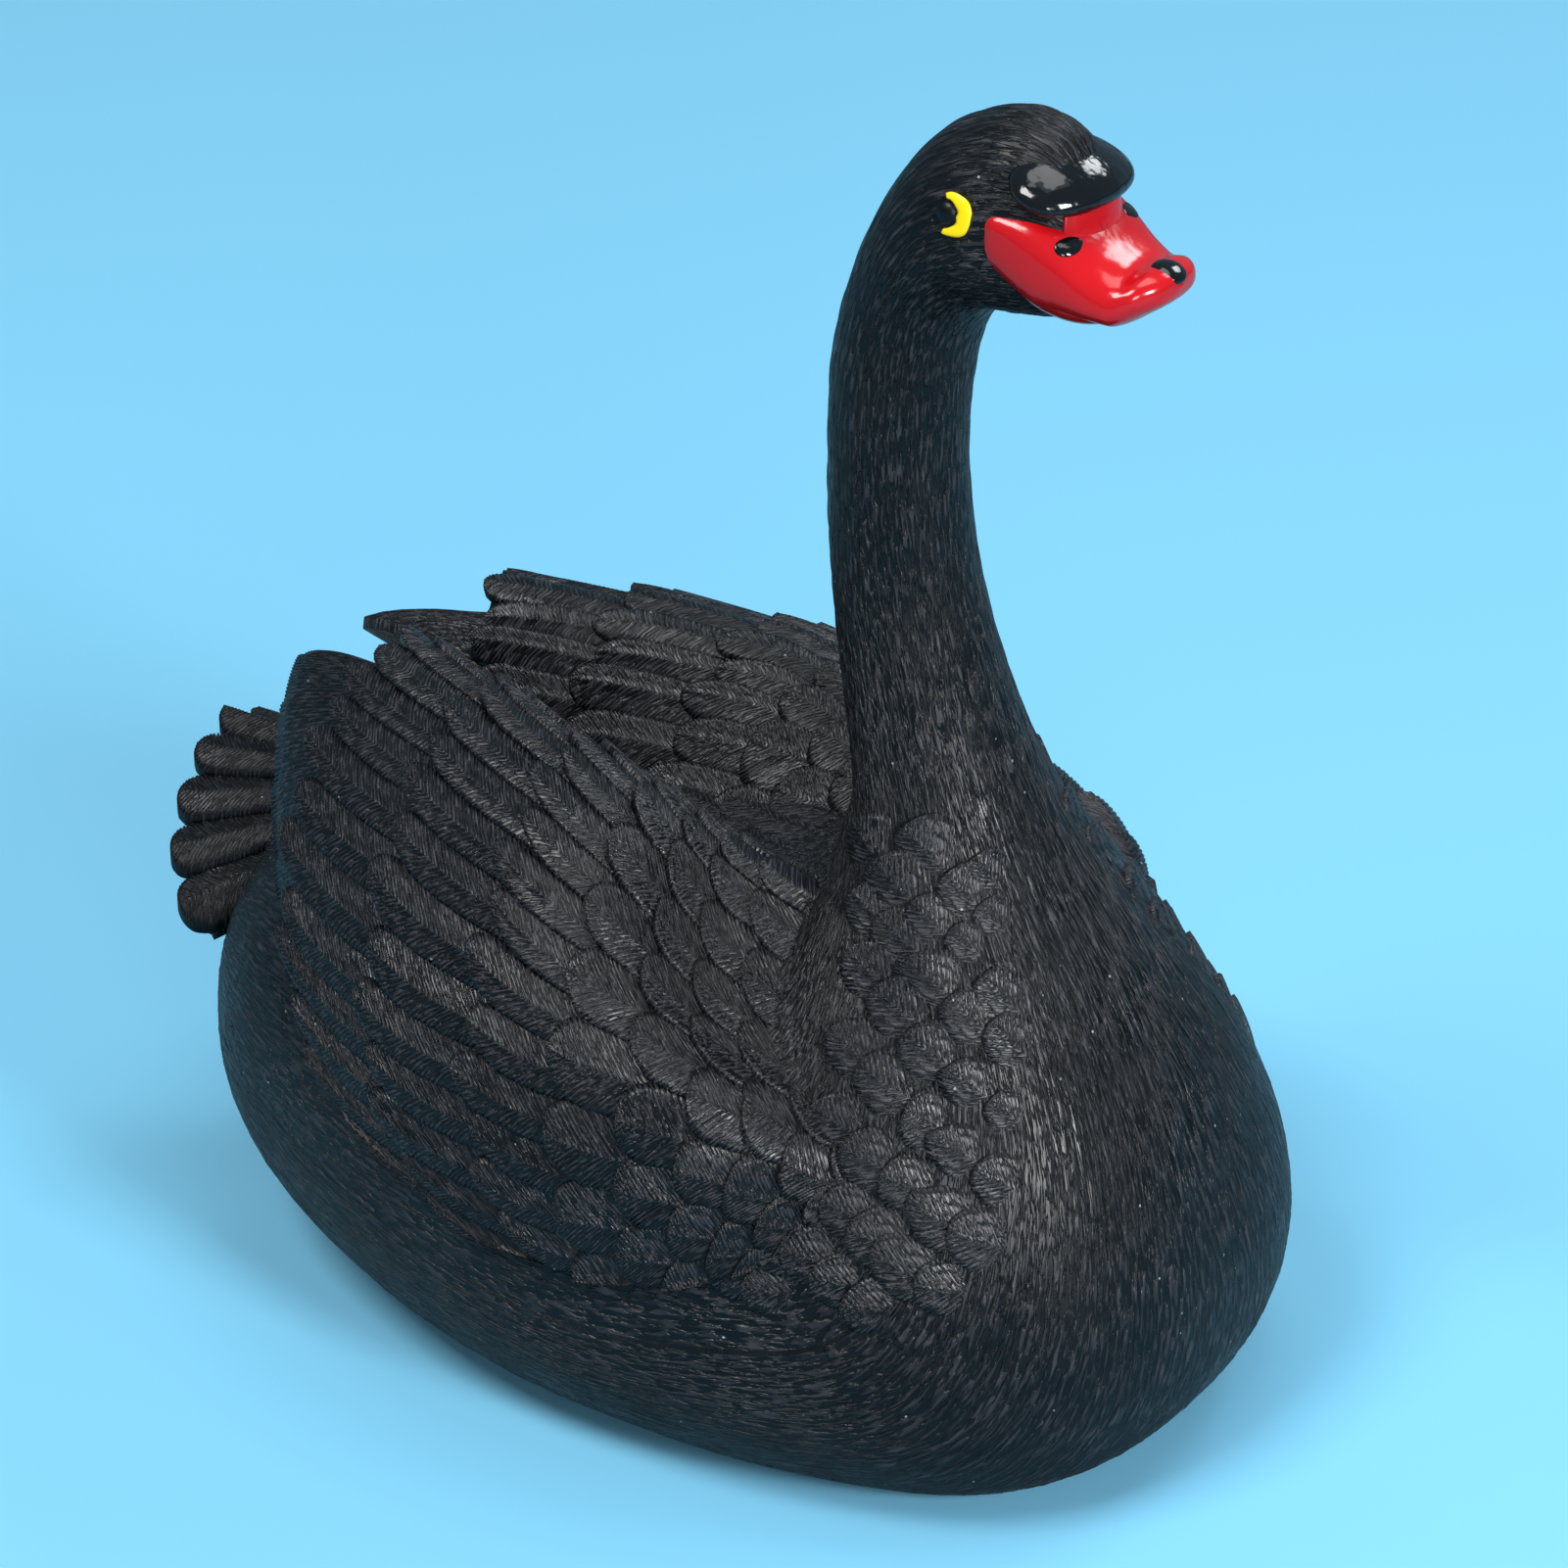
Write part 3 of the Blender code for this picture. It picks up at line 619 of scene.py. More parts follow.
def walled(flat, lift, wall, core):
    """The lift of a feather's top, and under it the depth of its wall and of its inner point."""
    return np.where(flat[:, 2] > -0.5, lift, np.where(flat[:, 2] < -1.5, -core, -wall))


def add_vane(group, template, place, seed):
    """Lays one feather by a function that gives its points, and joins it to a group."""
    mesh, flat = template
    points, flow = place(flat, seed)
    write_points(mesh, points)
    mark(mesh, flow)
    group.from_mesh(mesh)


def wing_vane(row, feather, side, barbs):
    """The function that lays one feather of a wing."""
    count = FEATHER_ROWS[row][1]
    each = WING_COLUMNS // count
    shift = (row % 2) * (each // 2) / each
    end, start, depth = tip_place(row, feather)
    before = tip_place(row - 1, 0)[2] if row else 0.0
    root = max(0.0, start - before - ROOT_REACH * (end - start))
    step = np.linspace(SMALL_STEP_SHARE, 1.0, len(FEATHER_ROWS))[row] * FEATHER_STEP
    centre = (feather + 0.5 - shift) / count
    half = 0.5 / count

    def place(flat, seed):
        middle = np.clip(centre, 0.02, 0.98)
        ends = wing_at([middle - half * 0.9, middle + half * 0.9], [end, end])
        line = wing_at([middle, middle], [root, end])
        length = float(np.linalg.norm(line[1] - line[0]))
        half_width = float(np.linalg.norm(ends[1] - ends[0])) / 2
        own, way, lift, flow = vane_shape(
            flat, barbs, length, half_width, depth / (end - root), SHAFT_ASIDE, seed)
        sweep = FEATHER_SWEEP if row >= len(FEATHER_ROWS) - LONG_ROWS else SMALL_FEATHER_SWEEP
        sweep = sweep * smooth_step(0.0, SWEEP_FROM, middle) + SWEEP_CHANCE * (chance(seed, 4) - 0.5)
        across = centre + own * half * FEATHER_WIDENING + sweep * way ** 3
        tilt = (chance(seed, 2) - 0.5) * TILT_CHANCE
        along = root + (end - root) * (way + tilt)
        share = (own + 1) / 2
        height = np.clip((along - start + before) / (end - start + before), 0.0, 1.0)
        lap = FEATHER_LAP * share + SHAFT_RISE * (1 - own ** 2)
        rise = (height * (1 + lap) + RISE_SHARE * lap) * step
        across = np.clip(across, 0.0, 1.0)
        base = wing_at(across, np.clip(along, 0, 1))
        base[:, 0] -= np.maximum(along - 1, 0) * WING_LENGTH
        lift = walled(flat, lift, VANE_WALL, VANE_CORE + step)
        points = base + wing_normal(across, along) * (rise + wing_proud(along) + lift)[:, None]
        return in_place(points, side), flow

    return place


def make_wing(name, side, rows, material):
    """The feathers of some rows of one wing."""
    group = bmesh.new()
    for row in rows:
        seed = (17 if side > 0 else 523) + row * 29
        end, start, _ = tip_place(row, 0)
        barbs = barbs_of((end - start) * WING_LENGTH * HIDDEN_REACH)
        template = vane_template(barbs * SAMPLES_A_BARB)
        for feather in range(FEATHER_ROWS[row][1] + row % 2):
            add_vane(group, template, wing_vane(row, feather, side, barbs), seed + feather)
        bpy.data.meshes.remove(template[0])
    if side < 0:
        bmesh.ops.reverse_faces(group, faces=group.faces[:])
    return finish_piece(name, mesh_of(name, group), material)


def make_wing_bed(name, side, material):
    """The plain wing under its feathers, closed inside the body."""
    form = bmesh.new()
    bmesh.ops.create_grid(form, x_segments=60, y_segments=60, size=1.0)
    sunk_rim(form, -1, (0, 0, -1))
    mesh = mesh_of(name, form)
    flat = read_points(mesh)
    across = (flat[:, 0] + 1) / 2
    along = (flat[:, 1] + 1) / 2 * BED_REACH
    points = wing_at(across, along) + wing_normal(across, along) * (wing_proud(along) - BED_SINK)[:, None]
    points = np.where(flat[:, 2:3] < -0.5, np.array(WING_CORE), points)
    return placed_piece(name, mesh, points, material, flow=flat * BED_FLOW, side=side)


PRIMARY_BARBS = 130
PRIMARY_WALL = 3.0
PRIMARY_ROUND = 0.14
PRIMARY_FEATHERS = 8
PRIMARY_STEP = 0.9
PRIMARY_BARB_DEPTH = 1.2
PRIMARY_EDGE_DROP = 0.8
PRIMARY_END_DROP = 1.6
PRIMARY_SLANT = 0.03
PRIMARY_FLOW = (120, 30)


def make_primaries(name, side, material):
    """The long feathers that show behind and below a wing, with barbs that run to their edge."""
    rows = PRIMARY_BARBS * SAMPLES_A_BARB
    form = bmesh.new()
    bmesh.ops.create_grid(form, x_segments=10, y_segments=rows, size=1.0)
    sunk_rim(form, -1)
    sunk_rim(form, -2, (0, 0, -2))
    mesh = mesh_of(name, form)
    flat = read_points(mesh)
    out = (flat[:, 0] + 1) / 2
    share = np.clip((flat[:, 1] + 1) / 2 + PRIMARY_SLANT * out * (1 - out), 0, 1)
    across = PRIMARY_FROM + (PRIMARY_TO - PRIMARY_FROM) * share
    under = np.full(len(across), PRIMARY_UNDER)
    edge = spline(PRIMARY_EDGE, share) * np.array([-PRIMARY_REACH, WING_SPREAD, WING_HEIGHT])
    normal = wing_normal(np.maximum(across, WING_CREST), under)
    inner = wing_at(across, under) - wing_normal(across, under) * PRIMARY_SINK
    round_end = np.sqrt(1 - (1 - np.clip(share / PRIMARY_ROUND, 0, 1)) ** 2)
    edge = inner + (edge - inner) * (0.3 + 0.7 * round_end)[:, None]
    phase = (flat[:, 1] + 1) / 2 * PRIMARY_BARBS
    which = np.floor(phase)
    groove = barb_ridge(phase - which)
    deep = PRIMARY_BARB_DEPTH * (1 + chance(which, 31))
    bulge = PRIMARY_BULGE * 4 * out * (1 - out)
    lift = bulge + (groove - 1) * BARB_DEPTH * deep * (out > 0.2)
    lift -= PRIMARY_EDGE_DROP * smooth_step(0.85, 1.0, out) + PRIMARY_END_DROP * smooth_step(0.06, 0.0, share)
    part = share * PRIMARY_FEATHERS - np.floor(share * PRIMARY_FEATHERS)
    lift += PRIMARY_STEP * (0.5 - part) * smooth_step(0.3, 0.6, out) * smooth_step(0.0, 0.1, part)
    lift = np.where(flat[:, 2] < -0.5, -PRIMARY_WALL, lift)
    points = inner + (edge - inner) * out[:, None] + normal * lift[:, None]
    points = np.where(flat[:, 2:3] < -1.5, np.array(WING_CORE), points)
    flow = np.column_stack([share * PRIMARY_FLOW[0], out * PRIMARY_FLOW[1], groove])
    return placed_piece(name, mesh, points, material, flow=flow, side=side)


TAIL_WIDEST = 0.8
TAIL_TIP_DEPTH = 0.17
TAIL_WIDENING = 1.10
TAIL_CROWN = 0.45
TAIL_WALL = 0.8
TAIL_BED_SHARE = (0.97, 0.86)
TAIL_BED_SINK = 0.8


def tail_vane(feather, barbs):
    """The function that lays one tail feather over its neighbour outwards."""
    half = 1.0 / TAIL_FEATHERS
    centre = 2 * (feather + 0.5) * half - 1
    side = np.sign(feather - (TAIL_FEATHERS - 1) / 2)

    def place(flat, seed):
        length = TAIL_LENGTH * (1 - TAIL_ROOT)
        half_width = TAIL_LENGTH * TAIL_WIDEST * math.radians(TAIL_HALF_ANGLE) * half
        own, way, lift, flow = vane_shape(flat, barbs, length, half_width, TAIL_TIP_DEPTH, 0.0, seed)
        across = centre + own * half * TAIL_WIDENING
        base = tail_at(across, way)
        lap = 0.5 * (side * own if side else -np.abs(own))
        rise = TAIL_STEP * (lap + TAIL_CROWN * (1 - own ** 2))
        base[:, 2] += rise + walled(flat, lift, TAIL_THICKNESS * TAIL_WALL, TAIL_THICKNESS)
        return in_place(base), flow

    return place


def make_tail(material):
    """The fan of tail feathers."""
    group = bmesh.new()
    barbs = barbs_of(TAIL_LENGTH * (1 - TAIL_ROOT))
    template = vane_template(barbs * SAMPLES_A_BARB)
    for feather in range(TAIL_FEATHERS):
        add_vane(group, template, tail_vane(feather, barbs), 900 + feather)
    bpy.data.meshes.remove(template[0])
    bmesh.ops.reverse_faces(group, faces=group.faces[:])
    return finish_piece("tail_feathers", mesh_of("tail_feathers", group), material)


def make_tail_bed(material):
    """The plain fan under the tail feathers."""
    mesh, flat, high = thick_sheet("tail_bed", 48, 16, 1.0)
    along = (flat[:, 1] + 1) / 2
    points = tail_at(flat[:, 0] * TAIL_BED_SHARE[0], along * TAIL_BED_SHARE[1])
    points[:, 2] -= np.where(high, TAIL_BED_SINK, TAIL_THICKNESS * (1.6 + 0.7 * (1 - along)))
    return placed_piece("tail_bed", mesh, points, material, flow=flat * BED_FLOW)


# Small scales on the shoulders, from the front edge of a wing to the groove beside the neck, and on the back
SHOULDER_BACK = ((40, 20, 116), (50, 33, 97), (54, 47, 76), (52, 58, 57), (40, 66, 46))
SHOULDER_FRONT = ((60, 12, 112), (70, 21, 96), (79, 31, 79), (82, 44, 60), (76, 58, 46))
SCALE_LENGTH = 14.0
SCALE_WIDTH = 12.0
SCALE_RISE = 2.3
SCALE_SINK = 1.0
SCALE_CARVING = 0.55
SCALE_TIP = 0.42
SCALE_SHAFT = 0.06
SCALE_CROWN = 0.15
SCALE_WALL = 2.2
SCALE_BARBS = 11
SCALE_ROWS = 5
SCALES_A_ROW = 8
ROUND_THE_BODY = np.linspace(-math.pi, math.pi, 240, endpoint=False)
ALONG_THE_BODY = np.linspace(0.02, 0.985, 500)
BODY_STRIDE = (0.02, 0.002)
BACK_SCALE_ROWS = 7
BACK_SCALES_A_ROW = 5
BACK_SCALE_START = 24.0
BACK_SCALE_PITCH = (8.0, 9.0)
BACK_SCALE_LEVEL = 112.0


def spot_on(surface, place, turns, shares, stride):
    """The turn and share at which a surface comes nearest to a place, the point there, and its two edges."""
    turns, shares = (grid.ravel() for grid in np.meshgrid(turns, shares))
    nearest = np.argmin(np.linalg.norm(surface(turns, shares) - np.asarray(place, float), axis=1))
    turn, share = turns[nearest], shares[nearest]
    here = surface(turn, share)[0]
    onwards = surface(np.array([turn + stride[0], turn]), np.array([share, share + stride[1]]))
    return turn, share, here, ((onwards - here) / np.array(stride)[:, None]).T


def skin_patch(place, heading):
    """A function from millimetres across and along a heading to the skin near a place, with its normals."""
    turn, along, here, edges = spot_on(body_at, place, ROUND_THE_BODY, ALONG_THE_BODY, BODY_STRIDE)
    normal = np.cross(edges[:, 0], edges[:, 1])
    normal /= np.linalg.norm(normal)
    normal *= np.sign(np.dot(normal, here - body_middle(np.array([along]))[0]))
    ahead = np.asarray(heading, float)
    ahead = ahead - normal * np.dot(ahead, normal)
    ahead /= np.linalg.norm(ahead)
    sideways = np.cross(ahead, normal)
    steps = np.linalg.pinv(edges)

    def on_skin(across, forward):
        shift = (np.outer(across, sideways) + np.outer(forward, ahead)) @ steps.T
        point = body_at(turn + shift[:, 0], along + shift[:, 1])
        return point, np.broadcast_to(normal, point.shape)

    return on_skin


def skin_scale(place, heading, size):
    """The function that lays one small scale on the skin, its round end towards a heading."""
    on_skin = skin_patch(place, heading)
    length, width = SCALE_LENGTH * size, SCALE_WIDTH * size

    def lay(flat, seed):
        own, way, lift, flow = vane_shape(flat, SCALE_BARBS, length, width / 2, SCALE_TIP, SCALE_SHAFT, seed)
        lift = SCALE_CARVING * lift + SCALE_RISE * size * (way + SCALE_CROWN * (1 - own ** 2)) - SCALE_SINK
        lift = walled(flat, lift, SCALE_WALL, 2 * SCALE_WALL)
        point, normal = on_skin(own * width / 2, (way - 0.5) * length)
        return in_place(point + normal * lift[:, None]), flow

    return lay


def scales_piece(name, side, scales, material):
    """Joins small scales, each laid by its own function, into one piece of a side."""
    group = bmesh.new()
    template = vane_template(SCALE_BARBS * SAMPLES_A_BARB)
    for lay, seed in scales:
        add_vane(group, template, lay, seed)
    bpy.data.meshes.remove(template[0])
    group.transform(Matrix.Scale(side, 4, (0.0, 1.0, 0.0)))
    bmesh.ops.recalc_face_normals(group, faces=group.faces[:])
    return finish_piece(name, mesh_of(name, group), material)


def make_scales(name, side, material):
    """Rows of scales over a shoulder, between the front edge of the wing and the groove beside the neck."""
    scales = []
    for row in range(SCALE_ROWS):
        front = row / (SCALE_ROWS - 1)
        for i in range(SCALES_A_ROW):
            share = (i + 0.25 + 0.5 * (row % 2) + 0.3 * (chance(i, row, 3) - 0.5)) / SCALES_A_ROW
            place = spline(SHOULDER_BACK, share)[0] * (1 - front) + spline(SHOULDER_FRONT, share)[0] * front
            size = 1.0 + 0.25 * (chance(i, row) - 0.5) - 0.15 * front
            scales.append((skin_scale(place, (-1.0, 0.1, 0.7 - 0.9 * share), size), 40 * row + i))
    return scales_piece(name, side, scales, material)


def make_back_scales(material):
    """Rows of scales over the back between the wings and the neck."""
    scales = []
    for row in range(BACK_SCALE_ROWS):
        for i in range(BACK_SCALES_A_ROW):
            x = BACK_SCALE_START - BACK_SCALE_PITCH[0] * row
            y = (i - (BACK_SCALES_A_ROW - 1) / 2 + 0.5 * (row % 2)) * BACK_SCALE_PITCH[1]
            lay = skin_scale((x, y, BACK_SCALE_LEVEL), (-1.0, 0.0, 0.0), 0.9 + 0.2 * chance(i, row))
            scales.append((lay, 300 + 20 * row + i))
    return scales_piece("back_scales", 1, scales, material)


# Head details
def bill_at(turn, share, drop=0.0, inset=0.0, reach=1.0):
    """The skin of the upper bill, or of the lower one, which sits lower and is narrower and shorter."""
    middle = head_middle()
    start = np.array([middle[0] - BILL_BACK, middle[1] - BILL_DOWN])
    rows = spline(BILL_STATIONS, share)
    half = BILL_HEIGHT / 2
    mouth = np.minimum(MOUTH_LEVEL, rows[:, 1] - UPPER_BILL_LEAST)
    low = rows[:, 2] if drop else np.maximum(rows[:, 2], mouth)
    x = start[0] + rows[:, 0] * BILL_LENGTH * reach
    under = np.column_stack([x, start[1] + low * half])
    over = np.column_stack([x, start[1] + rows[:, 1] * half - drop])
    width = np.maximum(rows[:, 3] * BILL_WIDTH / 2 - inset, 0.0)
    points = ring_point(under, over, width, rows[:, 4], rows[:, 5], turn)
    off = (points[:, [0, 2]] - start - np.array(NOSTRIL_PLACE)[[0, 2]]) / (np.array(NOSTRIL_SIZE)[[0, 2]] / 2)
    dent = NOSTRIL_DEPTH * smooth_step(1.25, 0.6, np.linalg.norm(off, axis=1)) * (drop == 0)
    points[:, 1] -= np.sign(points[:, 1]) * dent
    return points


def make_bill(name, drop, inset, reach, material):
    """Upper or lower bill as one loft, with a soft edge at the mouth."""
    mesh, turn, share = wrapped(120, 90)
    return placed_piece(name, mesh, bill_at(turn, share, drop, inset, reach), material)


# The red face: where it starts on the head, and how far it stands off the skin, as shares
BILL_ROOT_FROM = 0.906
BILL_ROOT_START = 1.01
BILL_ROOT_RISE = 1.055
BILL_ROOT_TAPER = 0.25
BILL_ROOT_SINK = 0.14
BILL_ROOT_SOFT = 3


def make_bill_root(material):
    """The face between knob and bill, over which the red paint runs up."""
    mesh, turn, share = wrapped(64, 24)
    along = BILL_ROOT_FROM + (1 - BILL_ROOT_FROM) * share
    middle = body_middle(along)
    skin = body_at(turn, along)
    under_knob = head_middle()[1] + KNOB_UP
    rise = BILL_ROOT_START + (BILL_ROOT_RISE - BILL_ROOT_START) * smooth_step(0.0, BILL_ROOT_TAPER, share)
    rise -= BILL_ROOT_SINK * smooth_step(under_knob - BILL_ROOT_SOFT, under_knob, skin[:, 2])
    points = middle + (skin - middle) * (rise * (share > 1e-4))[:, None]
    return placed_piece("bill_root", mesh, points, material)


def ball(name, place, size, tilt, material, around=48, up=32, squareness=2.0, droop=0.0):
    """A stretched ball, tipped forwards by a tilt in degrees, square in plan, with ends that droop."""
    mesh, around_it, share = wrapped(around, up)
    level = (share - 0.5) * math.pi
    power = 2 / squareness
    forward = np.sign(np.cos(around_it)) * np.abs(np.cos(around_it)) ** power * np.cos(level)
    out = np.sign(np.sin(around_it)) * np.abs(np.sin(around_it)) ** power * np.cos(level)
    points = np.column_stack([forward, out, np.sin(level)]) * np.array(size) / 2
    points[:, 2] -= droop * out ** 2
    turn = math.radians(tilt)
    x = points[:, 0] * math.cos(turn) + points[:, 2] * math.sin(turn)
    z = points[:, 2] * math.cos(turn) - points[:, 0] * math.sin(turn)
    points = np.column_stack([x, points[:, 1], z]) + np.array(place)
    return placed_piece(name, mesh, points, material)


def make_knob(material):
    """The thick roll of gloss enamel over the root of the bill."""
    place = from_head(KNOB_FORWARD, 0.0, KNOB_UP)
    ball("knob", place, KNOB_SIZE, KNOB_TILT, material, 96, 64, KNOB_SQUARENESS, KNOB_DROOP)


# Nostril paint: half length, half height and half thickness, and how its length rises
NOSTRIL_PAINT = (1.6, 1.0, 0.35)
NOSTRIL_SLOPE = -0.35
BILL_STRIDE = (0.02, 0.01)


def make_nostrils(material):
    """Black paint in the two hollows of the bill, as a thin lens on its skin."""
    place = from_head(-BILL_BACK, 0.0, -BILL_DOWN) + NOSTRIL_PLACE
    turns, shares = np.linspace(0, math.pi / 2, 200), np.linspace(0.1, 0.7, 400)
    turn, share, _, edges = spot_on(bill_at, place, turns, shares, BILL_STRIDE)
    steps = np.linalg.inv(edges[[0, 2]])
    for word, side in SIDES:
        mesh, around, level = wrapped(32, 16)
        level = (level - 0.5) * math.pi
        out = np.cos(level)
        forward = out * np.cos(around) * NOSTRIL_PAINT[0]
        up = out * np.sin(around) * NOSTRIL_PAINT[1] + forward * NOSTRIL_SLOPE
        shift = np.column_stack([forward, up]) @ steps.T
        points = bill_at(turn + shift[:, 0], share + shift[:, 1])
        lift = np.sin(level) * NOSTRIL_PAINT[2]
        points[:, 1:] += lift[:, None] * np.array([math.cos(turn), math.sin(turn)])
        placed_piece(f"{word}_nostril", mesh, points, material, side=side)


NAIL_SIZE = (6.0, 6.6, 3.0)
NAIL_AT = 0.91
NAIL_UP = 0.9
NAIL_TILT = 18


def make_nail(material):
    """The drop of black enamel over the tip of the bill."""
    place = from_head(BILL_LENGTH * NAIL_AT - BILL_BACK, 0.0, NAIL_UP - BILL_DOWN)
    ball("nail", place, NAIL_SIZE, NAIL_TILT, material)


# The painted crescent in front of each eye: how far it reaches round is in degrees
CRESCENT_RADIUS = 3.7
CRESCENT_WIDTH = 2.6
CRESCENT_REACH = 116.0
CRESCENT_BACK = 1.2
CRESCENT_DOWN = 0.9
CRESCENT_THICKNESS = 0.45
CRESCENT_WOBBLE = 0.12
EYEBALL_SIZE = (4.4, 2.8, 4.4)
EYEBALL_SINK = 1.0


def make_eyes(black, yellow):
    """Each eye is a low black ball with a yellow crescent painted in front of it."""
    for word, side in SIDES:
        eye = from_head(-EYE_BACK - CRESCENT_BACK, side * HEAD_WIDTH / 2, EYE_UP - CRESCENT_DOWN)
        on_skin = skin_patch(eye, (-1.0, 0.0, 0.0))
        place, normal = on_skin([0.0], [CRESCENT_BACK])
        ball(f"{word}_eye", place[0] - normal[0] * EYEBALL_SINK, EYEBALL_SIZE, 0, black)
        mesh, flat, high = thick_sheet(f"{word}_eye_crescent", 8, 48, 0.4)
        swing = np.radians(CRESCENT_REACH) * flat[:, 1]
        width = CRESCENT_WIDTH * (0.42 + 0.58 * np.cos(flat[:, 1] * math.pi / 2).clip(0, 1))
        wobble = CRESCENT_WOBBLE * np.sin(flat[:, 1] * 9 + side)
        radius = CRESCENT_RADIUS + wobble - width * (1 - flat[:, 0]) / 2
        place, normal = on_skin(radius * np.sin(swing), -radius * np.cos(swing))
        edge = 1 - 0.6 * flat[:, 0] ** 4
        place = place + normal * np.where(high, CRESCENT_THICKNESS * edge, -1.0)[:, None]
        placed_piece(f"{word}_eye_crescent", mesh, place, yellow)


# Materials: paint grain of 0.4 mm, dull patches of 14 mm, dust cells of 2.4 mm and waves of 4 mm, per metre
GRAIN_SCALE = 2600.0
GRAIN_DEPTH = 0.0001
PATCH_SCALE = 70.0
ROUGHNESS_SPREAD = (-0.08, 0.12)
DUST_SCALE = 420.0
DUST_RADIUS = 0.10
DUST_COLOUR = "#8f9aa0"
WAVE_SCALE = 260.0


def linear(code):
    """A colour given as sRGB hex, in the linear values that a shader takes."""
    shares = [int(code[i:i + 2], 16) / 255 for i in (1, 3, 5)]
    return tuple(s / 12.92 if s <= 0.04045 else ((s + 0.055) / 1.055) ** 2.4 for s in shares) + (1.0,)


def add(tree, kind, settings=None, links=None):
    """Adds a node, sets its own values and sockets, and links its inputs."""
    node = tree.nodes.new("ShaderNode" + kind)
    for name, value in (settings or {}).items():
        if isinstance(name, int) or name in node.inputs:
            node.inputs[name].default_value = value
        else:
            setattr(node, name, value)
    wire(tree, node, links or {})
    return node


def wire(tree, node, links):
    """Links a node's inputs to sockets, or to the first output of other nodes."""
    for name, source in links.items():
        tree.links.new(source.outputs[0] if hasattr(source, "outputs") else source, node.inputs[name])


def new_material(name, settings):
    material = bpy.data.materials.new(name)
    material.use_nodes = True
    tree = material.node_tree
    shader = tree.nodes["Principled BSDF"]
    for socket, value in settings.items():
        shader.inputs[socket].default_value = value
    return material, tree, shader


def satin_black(name, ridge, groove, gloss, roughness, stroke, speck_share):
    """Black satin spray enamel over cast resin: thin paint that keeps the carving. Its colour runs from the
    darker groove colour, a painted shade, to the lighter ridge colour, a painted highlight.
    """
    material, tree, shader = new_material(name, {"Metallic": 0.0, "IOR": 1.5, "Specular IOR Level": gloss})
    place = add(tree, "TexCoord").outputs["Object"]
    flow = add(tree, "Attribute", {"attribute_name": "flow"}).outputs["Vector"]
    lines = add(tree, "Mapping", {"Scale": (1 / stroke[0], 1 / stroke[1], 0.0)}, {"Vector": flow})
    strokes = add(tree, "TexNoise", {
        "Scale": 1.0, "Detail": 2.0, "Roughness": 0.5, "Distortion": 0.3}, {"Vector": lines})
    cut = add(tree, "MapRange", {
        "From Min": 0.42, "From Max": 0.60, "interpolation_type": "SMOOTHSTEP"}, {"Value": strokes})
    grain = add(tree, "TexNoise", {"Scale": GRAIN_SCALE, "Detail": 2.0}, {"Vector": place})
    patches = add(tree, "TexNoise", {"Scale": PATCH_SCALE, "Detail": 3.0}, {"Vector": place})
    rough = add(tree, "MapRange", {
        "From Min": 0.3, "From Max": 0.7, "To Min": roughness + ROUGHNESS_SPREAD[0],
        "To Max": roughness + ROUGHNESS_SPREAD[1]}, {"Value": patches})
    dust = add(tree, "TexVoronoi", {"Scale": DUST_SCALE, "Randomness": 1.0}, {"Vector": place})
    near = add(tree, "Math", {"operation": "LESS_THAN", 1: DUST_RADIUS}, {0: dust})
    pick = add(tree, "SeparateColor", None, {"Color": dust.outputs["Color"]})
    few = add(tree, "Math", {"operation": "LESS_THAN", 1: speck_share}, {0: pick})
    speck = add(tree, "Math", {"operation": "MULTIPLY"}, {0: near, 1: few})
    carved = add(tree, "SeparateXYZ", None, {"Vector": flow})
    # Painted light: the height on the carving and the strokes lighten the ridges as a painted highlight and
    # darken the grooves as painted shade
    ridge_light_share = add(tree, "Math", {"operation": "MULTIPLY"}, {0: carved.outputs[2], 1: cut})
    paint = add(tree, "Mix", {"data_type": "RGBA", 6: linear(groove), 7: linear(ridge)}, {0: ridge_light_share})
    dust_and_painted_light = add(tree, "Mix", {"data_type": "RGBA", 7: linear(DUST_COLOUR)}, {0: speck, 6: paint.outputs[2]})
    fine = add(tree, "Bump", {"Strength": 1.0, "Distance": stroke[2]}, {"Height": cut})
    both = add(tree, "Bump", {"Strength": 0.25, "Distance": GRAIN_DEPTH}, {"Height": grain, "Normal": fine})
    wire(tree, shader, {"Roughness": rough, "Base Color": dust_and_painted_light.outputs[2], "Normal": both})
    return material


def gloss_enamel(name, colour, roughness, wave_depth):
    """Brushed-on gloss enamel: it pools and levels, so it is smooth with slow waves."""
    material, tree, shader = new_material(name, {
        "Base Color": linear(colour), "Metallic": 0.0, "IOR": 1.45, "Roughness": roughness,
        "Coat Weight": 0.2, "Coat Roughness": 0.08,
    })
    place = add(tree, "TexCoord").outputs["Object"]
    waves = add(tree, "TexNoise", {"Scale": WAVE_SCALE, "Detail": 2.0}, {"Vector": place})
    bump = add(tree, "Bump", {"Strength": 0.5, "Distance": wave_depth}, {"Height": waves})
    wire(tree, shader, {"Normal": bump})
    return material


def backdrop_paper(name, colour, bounce):
    """Matt pale-blue studio paper, which casts less of its blue on the swan than the eye sees."""
    material, tree, shader = new_material(name, {"Base Color": linear(colour), "Roughness": 0.9})
    dim = add(tree, "BsdfDiffuse", {"Color": linear(bounce)})
    mixed = add(tree, "MixShader", None, {0: seen_ray(tree), 1: dim, 2: shader})
    wire(tree, tree.nodes["Material Output"], {"Surface": mixed})
    return material


